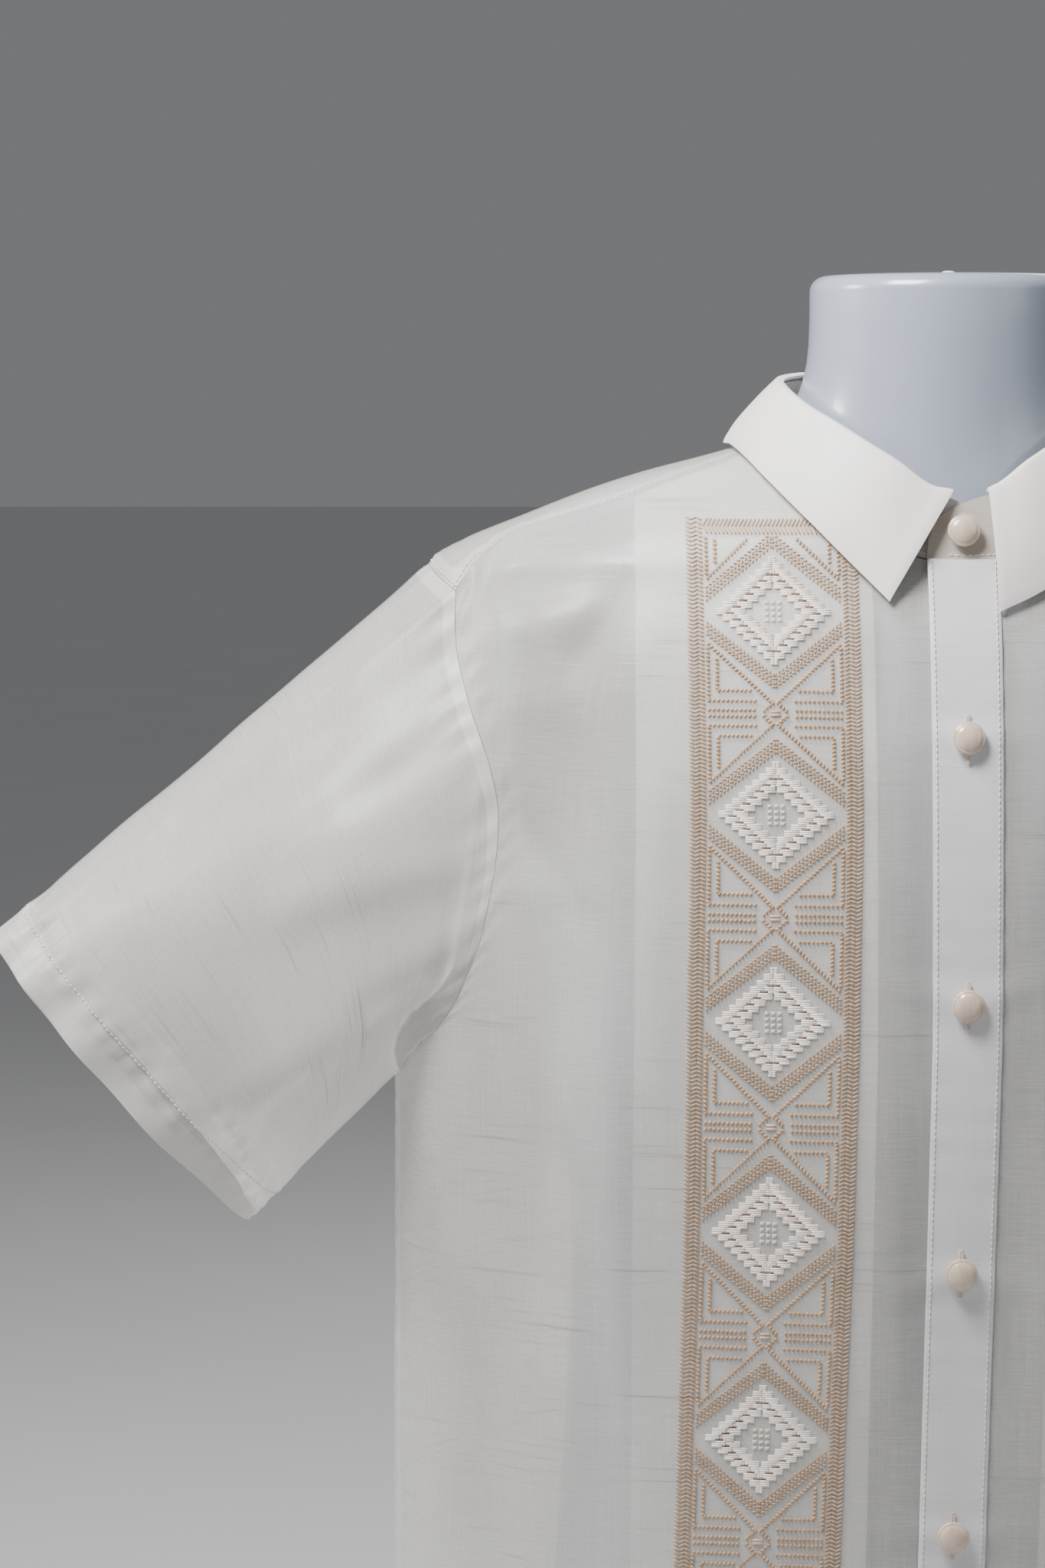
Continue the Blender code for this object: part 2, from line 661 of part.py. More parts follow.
def build_stand(cloth):
    """The collar stand, whose wearer's-left end laps over its right one."""
    shared = neck_turns()
    lap_start = shared[-2]
    lap_end = shared[-1]
    half = np.concatenate([shared[:-1], np.linspace(lap_start, lap_end, 7)[1:]])
    turns = np.concatenate([-half[::-1], half[1:]])
    low = neck_edge(turns) + np.array([0.0, 0.0, SEAM])
    high = fold_point(turns, inset=STAND_INSET, drop=STAND_DROP)
    past = np.clip((np.abs(turns) - lap_start) / (lap_end - lap_start), 0, 1)
    rounding = 0.28 + 0.72 * np.sqrt(1 - past ** 2)
    high = low + (high - low) * rounding[:, None]
    out = np.stack([np.sin(np.radians(turns)), np.cos(np.radians(turns)), 0 * turns], axis=-1)
    sink = ease(-turns, 148, lap_start) * (STAND_WALL + SEAM)
    shift = out * sink[:, None]
    rows = np.array([low + (high - low) * t - shift for t in (0.0, 0.5, 1.0)])
    wall_node("collar_stand", rows, rows - out * STAND_WALL, cloth)


def leaf_edge(turns):
    """Points of the leaf's free edge, just off the shirt."""
    points = []
    for turn in turns:
        rows = LEAF_EDGE_LEFT if turn > 0 else LEAF_EDGE_RIGHT
        size = abs(turn)
        start = rows["turn"][-1]
        if size >= start:
            ascending = {name: column[::-1] for name, column in rows.items()}
            across = between(ascending, "turn", "across", size)
            height = between(ascending, "turn", "height", size)
            point = seen(math.copysign(1, turn) * across, height, -1)
        else:
            height = LEAF_BACK_HEIGHT + (rows["height"][-1] - LEAF_BACK_HEIGHT) * (size / start) ** 2
            first = seen(rows["across"][-1], rows["height"][-1], -1)
            centre = between(SKIN, "height", "centre", height)
            first_angle = math.degrees(math.atan2(first[1] - centre, first[0]))
            angle = 90 + (first_angle - 90) * size / start
            point = round_skin(angle, height)
            if turn < 0:
                point = mirrored(point)
        points.append(point)
    points = np.array(points)
    away = outward(points)
    away[..., 2] *= 0.5
    return points + unit(away) * LEAF_RAISE


def build_leaf(cloth):
    """The collar leaf, folded over the stand's top and down to its points."""
    turns = np.concatenate([np.linspace(LEAF_LEFT_TURN, 97, 9), np.linspace(97, -97, 15)[1:-1],
                            np.linspace(-97, -LEAF_RIGHT_TURN, 10)])
    edge = leaf_edge(turns)
    start = fold_point(turns, inset=0.0048, drop=0.0008)
    crown = fold_point(turns, inset=0.0024, drop=-0.0002)
    fold = fold_point(turns, inset=0.0000, drop=0.0016)
    out = np.stack([np.sin(np.radians(turns)), np.cos(np.radians(turns)), 0 * turns], axis=-1)
    rows = [start, crown, fold]
    for t, bulge in ((0.30, 0.0016), (0.65, 0.0020), (1.0, 0.0)):
        rows.append(fold + (edge - fold) * t + out * bulge)
    rows = np.array(rows)
    across = np.gradient(rows, axis=1)
    down = np.gradient(rows, axis=0)
    normal = unit(np.cross(across, down))
    if (normal[3] * out).sum() < 0:
        normal = -normal
    wall_node("collar_leaf", rows, rows - normal * LEAF_WALL, cloth)


def build_button(name, centre, axis, material):
    """A domed shank button, turned about its axis, with its shank's foot at a point."""
    profile = [(0.0022, 0.0), (0.0022, 0.0012), (0.0054, 0.0016), (BUTTON_RADIUS, 0.0029),
               (BUTTON_RADIUS - 0.0002, 0.0040), (0.0048, 0.0055), (0.0022, 0.0062)]
    turn = Vector((0, 0, 1)).rotation_difference(Vector(axis)).to_matrix().to_4x4()
    place = Matrix.Translation(Vector(centre)) @ turn
    points = []
    for radius, height in profile:
        for k in range(BUTTON_SIDES):
            angle = 2 * math.pi * k / BUTTON_SIDES
            points.append(place @ Vector((radius * math.cos(angle), radius * math.sin(angle), height)))
    foot = len(points)
    points.append(place @ Vector((0, 0, 0)))
    points.append(place @ Vector((0, 0, 0.0064)))
    faces = []
    last = (len(profile) - 1) * BUTTON_SIDES
    for k in range(BUTTON_SIDES):
        n = (k + 1) % BUTTON_SIDES
        for ring in range(len(profile) - 1):
            low = ring * BUTTON_SIDES
            high = low + BUTTON_SIDES
            faces.append((low + k, low + n, high + n, high + k))
        faces.append((foot, n, k))
        faces.append((foot + 1, last + k, last + n))
    new_node(name, points, faces, material)


def build_buttons(material):
    """The collar's button and the row of buttons down the band."""
    for number, height in enumerate(BUTTON_HEIGHTS, start=1):
        point = seen(0.0, height, -1)
        axis = outward(point)
        base = point + axis * (SEAM + BAND_WALL + SEAM)
        build_button(f"button_{number}", base, axis, material)
    low = neck_point(180.0)
    high = fold_point(180.0, inset=STAND_INSET, drop=STAND_DROP)
    share = (COLLAR_BUTTON_HEIGHT - low[2]) / (high[2] - low[2])
    point = low + (high - low) * share
    axis = unit(np.array([0.0, -(high[2] - low[2]), high[1] - low[1]]))
    axis = axis if axis[1] < 0 else -axis
    build_button("button_collar", point + axis * SEAM * 1.5, axis, material)


def form_gap(points):
    """How far the form stays from the cloth's inner face at points of the skin."""
    height = points[..., 2]
    y = points[..., 1] - between(SKIN, "height", "centre", height)
    side = between(FORM_GAP, "height", "side", height)
    front = between(FORM_GAP, "height", "front", height)
    back = between(FORM_GAP, "height", "back", height)
    reach = between(FORM_GAP, "height", "reach", height)
    sideways = np.exp(-(y / reach) ** 2)
    return sideways * side + (1 - sideways) * np.where(y < 0, front, back)


def form_ring(angles, heights):
    """Points round the form: an oval inside the body, and close under the cloth on the shoulders."""
    turn = np.radians(angles)
    near = np.cos(turn)
    far = np.sin(turn)
    width = between(SKIN, "height", "half_width", heights) - between(FORM_GAP, "height", "side", heights)
    front = between(SKIN, "height", "front", heights) - between(FORM_GAP, "height", "front", heights)
    back = between(SKIN, "height", "back", heights) - between(FORM_GAP, "height", "back", heights)
    depth = np.where(far < 0, front, back) - WALL
    power = between(SKIN, "height", "squareness", heights)
    radius = ((np.abs(near) / (width - WALL)) ** power + (np.abs(far) / depth) ** power) ** (-1 / power)
    y = between(SKIN, "height", "centre", heights) + radius * far
    oval = np.stack([radius * near, y, heights], axis=-1)
    cover = onto_skin(round_skin(angles, heights))
    close = cover - outward(cover) * (WALL + form_gap(cover))[:, None]
    mix = ease(heights, 0.735, 0.777)[:, None]
    return oval * (1 - mix) + close * mix


def build_form(material, pin_material):
    """The limbless torso form with its flat-topped neck, and the pin on top."""
    turns = np.arange(FORM_SIDES) * 360 / FORM_SIDES
    angles = 90 - turns
    neck = neck_point(np.where(turns > 180, turns - 360, turns))
    rings = []
    for level in FORM_LEVELS:
        if level <= FORM_TILT_START:
            heights = np.full(FORM_SIDES, level)
        else:
            share = (level - FORM_TILT_START) / (FORM_LEVELS[-1] - FORM_TILT_START)
            heights = FORM_TILT_START + share * (neck[:, 2] - FORM_TILT_START)
        rings.append(form_ring(angles, heights))
    base = rings[-1]
    out = np.stack([np.sin(np.radians(turns)), np.cos(np.radians(turns))], axis=-1)
    plain_top = NECK_TOP - NECK_ROUNDING
    for t in (0.06, 0.14, 0.26, 0.42, 0.65, 1.0):
        shrink = 1 - (1 - t) ** 4
        plan = base[:, :2] + (out * NECK_HALF_WIDTH - base[:, :2]) * shrink
        heights = base[:, 2] + (plain_top - base[:, 2]) * t
        rings.append(np.column_stack([plan, heights]))
    for k in (1, 2, 3):
        bend = math.radians(30 * k)
        radius = NECK_HALF_WIDTH - NECK_ROUNDING * (1 - math.cos(bend))
        height = plain_top + NECK_ROUNDING * math.sin(bend)
        rings.append(np.column_stack([out * radius, np.full(FORM_SIDES, height)]))
    points = np.concatenate(rings)
    faces = []
    for i in range(len(rings) - 1):
        for k in range(FORM_SIDES):
            n = (k + 1) % FORM_SIDES
            low, high = i * FORM_SIDES, (i + 1) * FORM_SIDES
            faces.append((low + k, low + n, high + n))
            faces.append((low + k, high + n, high + k))
    faces.append(tuple(reversed(range(FORM_SIDES))))
    top = (len(rings) - 1) * FORM_SIDES
    faces.append(tuple(top + k for k in range(FORM_SIDES)))
    new_node("form_torso", points, faces, material)
    build_pin(pin_material)


def build_pin(material):
    """The small stud that stands on the form's neck."""
    profile = [(0.0030, 0.0), (0.0030, 0.0015), (0.0022, 0.0021)]
    points = []
    for radius, height in profile:
        for k in range(PIN_SIDES):
            angle = 2 * math.pi * k / PIN_SIDES
            points.append((radius * math.cos(angle), radius * math.sin(angle),
                           NECK_TOP + SEAM + height))
    faces = [tuple(reversed(range(PIN_SIDES))), tuple(2 * PIN_SIDES + k for k in range(PIN_SIDES))]
    for low in (0, PIN_SIDES):
        high = low + PIN_SIDES
        for k in range(PIN_SIDES):
            n = (k + 1) % PIN_SIDES
            faces.append((low + k, low + n, high + n, high + k))
    new_node("form_pin", points, faces, material)


def main():
    """Clear the scene and build the shirt and its form."""
    for old in list(bpy.data.objects):
        bpy.data.objects.remove(old)
    cloth = new_material("sheer_cloth", (0.74, 0.73, 0.70), 0.42, sheen=0.4)
    backing = new_material("backing_cloth", (0.74, 0.73, 0.71), 0.60, sheen=0.2)
    smooth_cloth = new_material("collar_cloth", (0.80, 0.77, 0.74), 0.55, sheen=0.2)
    button = new_material("button_shell", (0.72, 0.62, 0.53), 0.18, coat=0.5)
    gloss = new_material("form_gloss", (0.62, 0.66, 0.74), 0.22, coat=0.6)
    pale = new_material("pin_white", (0.75, 0.78, 0.82), 0.30)

    seams = body_seams()
    build_fronts(seams, cloth, backing, smooth_cloth)
    grid = draw_back(back_grid(seams), "left", "right", "top")
    grid[UNDERARM_ROW, [0, -1], 2] -= SEAM / 2
    outer, inner = panel_walls(grid, WALL)
    wall_node("back", outer, inner, cloth)
    grid = draw_back(yoke_grid(seams), "left", "right", "top")
    outer, inner = panel_walls(grid, WALL)
    wall_node("yoke", outer, inner, cloth)
    build_sleeve("sleeve_left", seams, 1, cloth)
    build_sleeve("sleeve_right", seams, -1, cloth)
    build_stand(smooth_cloth)
    build_leaf(smooth_cloth)
    build_buttons(button)
    build_form(gloss, pale)


main()
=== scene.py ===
# %% [markdown]
# A barong tagalog is the sheer formal shirt of the Philippines. This one has short sleeves, a pointed
# collar, a band of buttons, and a strip of geometric embroidery down each front. A glossy torso form
# fills it out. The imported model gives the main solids, and this lesson dresses them: each cloth piece
# becomes a thin shell on the same curves, with folds, sewn seams and stitches.

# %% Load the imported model
import math

import bpy
import numpy as np
from mathutils import Matrix, Vector, noise


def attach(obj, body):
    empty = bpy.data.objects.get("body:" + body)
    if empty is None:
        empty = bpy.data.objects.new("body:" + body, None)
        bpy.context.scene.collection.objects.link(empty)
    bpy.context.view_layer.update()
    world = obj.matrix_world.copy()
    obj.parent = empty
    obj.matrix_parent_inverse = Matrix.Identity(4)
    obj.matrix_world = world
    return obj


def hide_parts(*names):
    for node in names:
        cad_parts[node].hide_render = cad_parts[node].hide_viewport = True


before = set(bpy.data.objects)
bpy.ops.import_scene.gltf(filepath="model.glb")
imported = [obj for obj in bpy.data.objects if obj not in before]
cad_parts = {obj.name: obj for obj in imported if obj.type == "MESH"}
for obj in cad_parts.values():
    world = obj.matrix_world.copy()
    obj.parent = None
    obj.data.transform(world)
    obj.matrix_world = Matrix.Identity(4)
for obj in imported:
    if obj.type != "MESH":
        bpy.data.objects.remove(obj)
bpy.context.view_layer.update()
print("solids:", len(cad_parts))

# %% [markdown]
# The camera comes first. The picture was taken with a long lens a little above the collar, looking
# slightly down and from the wearer's right, so the placket stands right of the middle.

# %% The camera
LENS = 90.9
CAMERA_PLACE = (-0.174, -1.777, 0.829)
CAMERA_PITCH = 5.5
CAMERA_YAW = 0.5


def placed(name, data):
    """A new object in the scene, made of some data."""
    made = bpy.data.objects.new(name, data)
    bpy.context.scene.collection.objects.link(made)
    return made


camera_data = bpy.data.cameras.new("camera")
camera_data.lens = LENS
camera = placed("camera", camera_data)
camera.location = CAMERA_PLACE
camera.rotation_euler = (math.radians(90 - CAMERA_PITCH), 0, math.radians(CAMERA_YAW))
bpy.context.scene.camera = camera

# %% [markdown]
# Every panel lies on one smooth skin, which is a stack of level outlines. The tables below are the
# solids' own sizes, in metres. Reading them smoothly at any height lets a panel have as many points
# as its folds need, while its seams stay where the solids have them.

# %% Sizes of the skin and its seams


def table(columns, rows):
    """Keep rows of sizes under their column names."""
    names = columns.split()
    return {name: np.array([row[i] for row in rows], float) for i, name in enumerate(names)}


HEM_HEIGHT = 0.045
WALL = 0.0012
SEAM = 0.0003
BAND_EDGE = 0.0140
FACING_START = 0.0360
FACING_EDGE = 0.1405
SIDE_SEAM_ANGLE = -6.0
ARM_RIDGE_HEIGHT = 0.7570
UNDERARM_HEIGHT = 0.531
YOKE_NECK_TURN = 102.0

SKIN = table("height half_width front back centre squareness", [
    (0.045, 0.2475, 0.1120, 0.1120, 0.000, 2.30),
    (0.200, 0.2475, 0.1120, 0.1140, 0.000, 2.30),
    (0.400, 0.2480, 0.1140, 0.1170, 0.000, 2.30),
    (0.531, 0.2475, 0.1170, 0.1190, 0.000, 2.30),
    (0.600, 0.2450, 0.1160, 0.1200, 0.001, 2.30),
    (0.660, 0.2420, 0.1120, 0.1200, 0.002, 2.25),
    (0.700, 0.2390, 0.1060, 0.1170, 0.004, 2.15),
    (0.730, 0.2355, 0.0990, 0.1120, 0.006, 2.05),
    (0.757, 0.2320, 0.0890, 0.1040, 0.008, 2.00),
    (0.769, 0.2143, 0.0840, 0.0990, 0.008, 2.00),
    (0.779, 0.1890, 0.0780, 0.0940, 0.008, 2.00),
    (0.797, 0.1407, 0.0650, 0.0850, 0.008, 2.00),
    (0.809, 0.0965, 0.0530, 0.0770, 0.008, 2.00),
    (0.820, 0.0700, 0.0450, 0.0690, 0.008, 2.00),
])
NECKLINE = table("turn height", [
    (0, 0.8185), (45, 0.8170), (90, 0.8125), (110, 0.8065), (130, 0.7945), (152, 0.7770),
    (170, 0.7624), (180, 0.7618),
])
YOKE_FRONT_SEAM = table("across height", [
    (0.1059, 0.8022), (0.1405, 0.7888), (0.1686, 0.7800), (0.1910, 0.7735), (0.2055, 0.7640),
    (0.2190, 0.7464),
])
ARMHOLE_FRONT = table("across height", [
    (0.2190, 0.7464), (0.2185, 0.7220), (0.2130, 0.6990), (0.2045, 0.6710), (0.2020, 0.6400),
    (0.2058, 0.6050), (0.2145, 0.5800), (0.2270, 0.5560),
])
ARMHOLE_BACK = table("across height", [
    (0.2130, 0.7420), (0.2125, 0.7000), (0.2110, 0.6600), (0.2125, 0.6200), (0.2185, 0.5850),
    (0.2290, 0.5570),
])
YOKE_BACK_SEAM = table("across height", [
    (0.2130, 0.7420), (0.1500, 0.7450), (0.0750, 0.7465), (0.0000, 0.7470),
])

# %% [markdown]
# A table is read with a smooth curve that never overshoots its rows, so a panel drawn from it has no
# kinks at them. The skin is where skin_value is zero, and a point is drawn onto it along its slope.

# %% Reading the tables smoothly


def between(rows, key, column, at):
    """Read a column smoothly between its rows, without overshoot."""
    x = rows[key]
    y = rows[column]
    rise = np.diff(y) / np.diff(x)
    lean = np.zeros_like(y)
    lean[0] = rise[0]
    lean[-1] = rise[-1]
    for i in range(1, len(x) - 1):
        if rise[i - 1] * rise[i] > 0:
            lean[i] = 2 * rise[i - 1] * rise[i] / (rise[i - 1] + rise[i])
    at = np.clip(at, x[0], x[-1])
    i = np.clip(np.searchsorted(x, at) - 1, 0, len(x) - 2)
    span = x[i + 1] - x[i]
    t = (at - x[i]) / span
    start = (1 + 2 * t) * (1 - t) ** 2 * y[i] + t * (1 - t) ** 2 * span * lean[i]
    end = t * t * (3 - 2 * t) * y[i + 1] - t * t * (1 - t) * span * lean[i + 1]
    return start + end


def ease(value, low, high):
    """Rise softly from 0 at low to 1 at high."""
    t = np.clip((value - low) / (high - low), 0, 1)
    return t * t * (3 - 2 * t)


def unit(vectors):
    """Vectors of length one."""
    return vectors / np.maximum(np.linalg.norm(vectors, axis=-1, keepdims=True), 1e-12)


def skin_value(points):
    """Below zero inside the skin, zero on it and above zero outside."""
    height = points[..., 2]
    y = points[..., 1] - between(SKIN, "height", "centre", height)
    width = between(SKIN, "height", "half_width", height)
    front = between(SKIN, "height", "front", height)
    back = between(SKIN, "height", "back", height)
    power = between(SKIN, "height", "squareness", height)
    across = (np.abs(points[..., 0]) / width) ** power
    along = (np.abs(y) / np.where(y < 0, front, back)) ** power
    return (across + along) ** (1 / power) - 1


def skin_slope(points):
    """The way in which skin_value rises fastest."""
    step = 1e-5
    slope = np.zeros_like(points)
    for axis in range(3):
        shift = np.zeros(3)
        shift[axis] = step
        slope[..., axis] = (skin_value(points + shift) - skin_value(points - shift)) / (2 * step)
    return slope


def onto_skin(points, rounds=8):
    """Draw points along the slope onto the skin."""
    points = np.array(points, float)
    for _ in range(rounds):
        slope = skin_slope(points)
        length = np.maximum((slope ** 2).sum(axis=-1, keepdims=True), 1e-9)
        points = points - skin_value(points)[..., None] * slope / length
    return points


def outward(points):
    """The skin's own outward direction at points."""
    return unit(skin_slope(points))


def seen(across, height, facing):
    """Point of the skin seen at a place from the front (-1) or the back (+1)."""
    depth = between(SKIN, "height", "front" if facing < 0 else "back", height)
    width = between(SKIN, "height", "half_width", height)
    power = between(SKIN, "height", "squareness", height)
    rest = np.clip(1 - (np.abs(across) / width) ** power, 0, 1)
    y = between(SKIN, "height", "centre", height) + facing * depth * rest ** (1 / power)
    return np.stack(np.broadcast_arrays(across, y, height), axis=-1)


def round_skin(angle, height):
    """Point of the skin at an angle round it in degrees: 0 wearer's left, 90 back."""
    turn = np.radians(angle)
    c = np.cos(turn)
    s = np.sin(turn)
    width = between(SKIN, "height", "half_width", height)
    front = between(SKIN, "height", "front", height)
    back = between(SKIN, "height", "back", height)
    depth = np.where(s < 0, front, back)
    power = between(SKIN, "height", "squareness", height)
    radius = ((np.abs(c) / width) ** power + (np.abs(s) / depth) ** power) ** (-1 / power)
    y = between(SKIN, "height", "centre", height) + radius * s
    return np.stack(np.broadcast_arrays(radius * c, y, height), axis=-1)


def neck_point(turn):
    """Point of the neckline: turn 0 is the back, 90 the wearer's left, 180 the front."""
    turn = np.asarray(turn, float)
    size = np.abs(turn)
    size = np.where(size > 180, 360 - size, size)
    return round_skin(90 - turn, between(NECKLINE, "turn", "height", size))


def mirrored(points):
    """The same points on the body's other side."""
    return points * np.array([-1.0, 1.0, 1.0])


# %% [markdown]
# A panel's grid is filled in between its four edges, and then drawn onto the skin. That keeps its
# rows and columns even, which a subdivided box or a projected plane would not, and two panels that
# share an edge meet along it exactly.

# %% Panels between their seams


def curved(a, b, c, d, t):
    """Points of a smooth curve between b and c, which a and d lead into."""
    return 0.5 * (2 * b + (c - a) * t + (2 * a - 5 * b + 4 * c - d) * t ** 2
                  + (3 * b - a - 3 * c + d) * t ** 3)


def spread(points, count):
    """Evenly spaced points on the skin along a smooth curve through some of its points."""
    points = np.array(points, float)
    ends = np.vstack([2 * points[0] - points[1], points, 2 * points[-1] - points[-2]])
    t = np.linspace(0, 1, 16, endpoint=False)[:, None]
    dense = []
    for i in range(1, len(ends) - 2):
        dense.append(curved(*ends[i - 1:i + 3], t))
    dense = onto_skin(np.vstack(dense + [points[-1:]]))
    walked = np.concatenate([[0], np.cumsum(np.linalg.norm(np.diff(dense, axis=0), axis=1))])
    places = np.linspace(0, walked[-1], count + 1)
    even = np.stack([np.interp(places, walked, dense[:, axis]) for axis in range(3)], axis=1)
    return onto_skin(even)


def fill(bottom, top, left, right):
    """Grid of points on the skin between four edges that share their corners."""
    u = np.linspace(0, 1, len(bottom))[None, :, None]
    v = np.linspace(0, 1, len(left))[:, None, None]
    upward = (1 - v) * bottom[None] + v * top[None]
    sideways = (1 - u) * left[:, None] + u * right[:, None]
    corners = ((1 - u) * (1 - v) * bottom[0] + u * (1 - v) * bottom[-1]
               + (1 - u) * v * top[0] + u * v * top[-1])
    return onto_skin(upward + sideways - corners, 5)


def draw_back(grid, *edges):
    """Move named edges of a panel half a seam's gap into the panel."""
    moved = grid.copy()
    rows = {"bottom": (0, 1), "top": (-1, -2)}
    for edge in edges:
        if edge in rows:
            line, inside = moved[rows[edge][0]], moved[rows[edge][1]]
        else:
            place = (0, 1) if edge == "left" else (-1, -2)
            line, inside = moved[:, place[0]], moved[:, place[1]]
        run = unit(np.gradient(line, axis=0))
        inward = inside - line
        inward = inward - (inward * run).sum(axis=-1, keepdims=True) * run
        line += unit(inward) * SEAM / 2
    return moved


SIDE_ROWS = 160
ARMHOLE_ROWS = 72
BAND_COUNT = 10
LAP_COUNT = 8
NECK_COUNT = 24
FACING_COUNT = 12
SIDE_COUNT = 48
BACK_COUNT = 72
OVER_COUNT = 36


def closure_turn(across):
    """The turn round the neck at which the neckline lies a distance across the front."""
    return 180 - math.degrees(math.asin(across / abs(float(neck_point(180.0)[1]))))


def seam_line(rows, facing, count, first=None, last=None):
    """Even points on the skin along a seam's table."""
    points = list(seen(rows["across"], rows["height"], facing))
    points = ([first] if first is not None else []) + points + ([last] if last is not None else [])
    return spread(points, count)


def body_seams():
    """The seam curves of the wearer's left half, each shared by its two pieces."""
    underarm = round_skin(SIDE_SEAM_ANGLE, UNDERARM_HEIGHT)
    yoke_front = seen(YOKE_FRONT_SEAM["across"], YOKE_FRONT_SEAM["height"], -1)
    yoke_front = np.vstack([neck_point(YOKE_NECK_TURN), yoke_front])
    front = seam_line(ARMHOLE_FRONT, -1, ARMHOLE_ROWS, last=underarm)
    back = seam_line(ARMHOLE_BACK, 1, ARMHOLE_ROWS, last=underarm)
    ridge = round_skin(0.0, ARM_RIDGE_HEIGHT)
    return {
        "side": round_skin(SIDE_SEAM_ANGLE, np.linspace(HEM_HEIGHT, UNDERARM_HEIGHT, SIDE_ROWS + 1)),
        "yoke_inner": yoke_front[:3],
        "yoke_outer": yoke_front[2:],
        "armhole_front": front,
        "armhole_back": back,
        "armhole_over": spread([front[0], ridge, back[0]], OVER_COUNT),
        "yoke_back": seam_line(YOKE_BACK_SEAM, 1, BACK_COUNT),
    }


DRIFT_START = 0.560
DRIFT_SLOPE = 0.018
DRIFT_MOST = 0.0055
DRIFT_REACH = 0.130


def drifted(points):
    """Let the fronts hang a little askew, towards the wearer's right going down."""
    fall = np.minimum(np.clip(DRIFT_START - points[..., 2], 0, None) * DRIFT_SLOPE, DRIFT_MOST)
    near = np.exp(-(points[..., 0] / DRIFT_REACH) ** 2) * (points[..., 1] < 0)
    moved = points.copy()
    moved[..., 0] -= fall * near
    return onto_skin(moved, 3)


def upright_line(across, top, share):
    """A line of the cloth that hangs straight down from a point of its top edge."""
    heights = HEM_HEIGHT + (top[2] - HEM_HEIGHT) * share
    xs = top[0] + (across - top[0]) * (1 - share) ** 0.5
    line = seen(xs, heights, -1)
    line[-1] = top
    return line


def front_grid(seams):
    """Points of the wearer's left front, from the closure to the side."""
    edge = np.vstack([seams["side"], seams["armhole_front"][::-1][1:]])
    share = (edge[:, 2] - HEM_HEIGHT) / (edge[-1, 2] - HEM_HEIGHT)
    inner = spread(seams["yoke_inner"], FACING_COUNT)
    lines = []
    for across in (-BAND_EDGE, BAND_EDGE, FACING_START):
        lines.append(upright_line(across, neck_point(closure_turn(across)), share))
    lines.append(upright_line(FACING_EDGE, inner[-1], share))
    neck = neck_point(np.linspace(closure_turn(FACING_START), YOKE_NECK_TURN, NECK_COUNT + 1))
    lap = neck_point(np.linspace(closure_turn(BAND_EDGE), closure_turn(FACING_START), LAP_COUNT + 1))
    tops = [neck_point(np.linspace(closure_turn(-BAND_EDGE), closure_turn(BAND_EDGE), BAND_COUNT + 1)),
            lap, np.vstack([neck, inner[1:]]), spread(seams["yoke_outer"], SIDE_COUNT)]
    grid = None
    for left, right, top in zip(lines, lines[1:] + [edge], tops):
        bottom = spread([left[0], 0.5 * (left[0] + right[0]), right[0]], len(top) - 1)
        bottom[0], bottom[-1] = left[0], right[0]
        top = top.copy()
        top[0], top[-1] = left[-1], right[-1]
        patch = fill(bottom, top, left, right)
        grid = patch if grid is None else np.concatenate([grid, patch[:, 1:]], axis=1)
    return grid


def back_grid(seams):
    """Points of the back below the yoke, from the wearer's left to the right."""
    left = np.vstack([seams["side"], seams["armhole_back"][::-1][1:]])
    top = seams["yoke_back"].copy()
    top[0] = left[-1]
    share = (left[:, 2] - HEM_HEIGHT) / (left[-1, 2] - HEM_HEIGHT)
    heights = HEM_HEIGHT + (top[-1][2] - HEM_HEIGHT) * share
    middle = seen(np.zeros(len(heights)), heights, 1)
    bottom = spread(round_skin(np.linspace(SIDE_SEAM_ANGLE, 90, 9), HEM_HEIGHT), BACK_COUNT)
    bottom[0], bottom[-1] = left[0], middle[0]
    half = fill(bottom, top, left, middle)
    return np.concatenate([half, mirrored(half)[:, ::-1][:, 1:]], axis=1)


def yoke_grid(seams):
    """Points of the yoke, from one front seam round behind the neck to the other."""
    outer = np.vstack([seams["armhole_over"], seams["yoke_back"][1:]])
    turns = np.concatenate([np.linspace(YOKE_NECK_TURN, 48, OVER_COUNT + 1),
                            np.linspace(48, 0, BACK_COUNT + 1)[1:]])
    inner = neck_point(turns)
    start = np.vstack([spread(seams["yoke_inner"], 9), spread(seams["yoke_outer"], 21)[1:]])
    start[0], start[-1] = inner[0], outer[0]
    spine = spread([inner[-1], 0.5 * (inner[-1] + outer[-1]), outer[-1]], 30)
    half = fill(inner, outer, start, spine)
    return np.concatenate([half, mirrored(half)[:, ::-1][:, 1:]], axis=1)


seams = body_seams()
left_front = drifted(draw_back(front_grid(seams), "right", "top"))
right_front = drifted(draw_back(mirrored(front_grid(seams)), "right", "top"))
back_panel = draw_back(back_grid(seams), "left", "right", "top")
yoke_panel = draw_back(yoke_grid(seams), "left", "right", "top")
print("front grid", left_front.shape[:2], "back grid", back_panel.shape[:2])
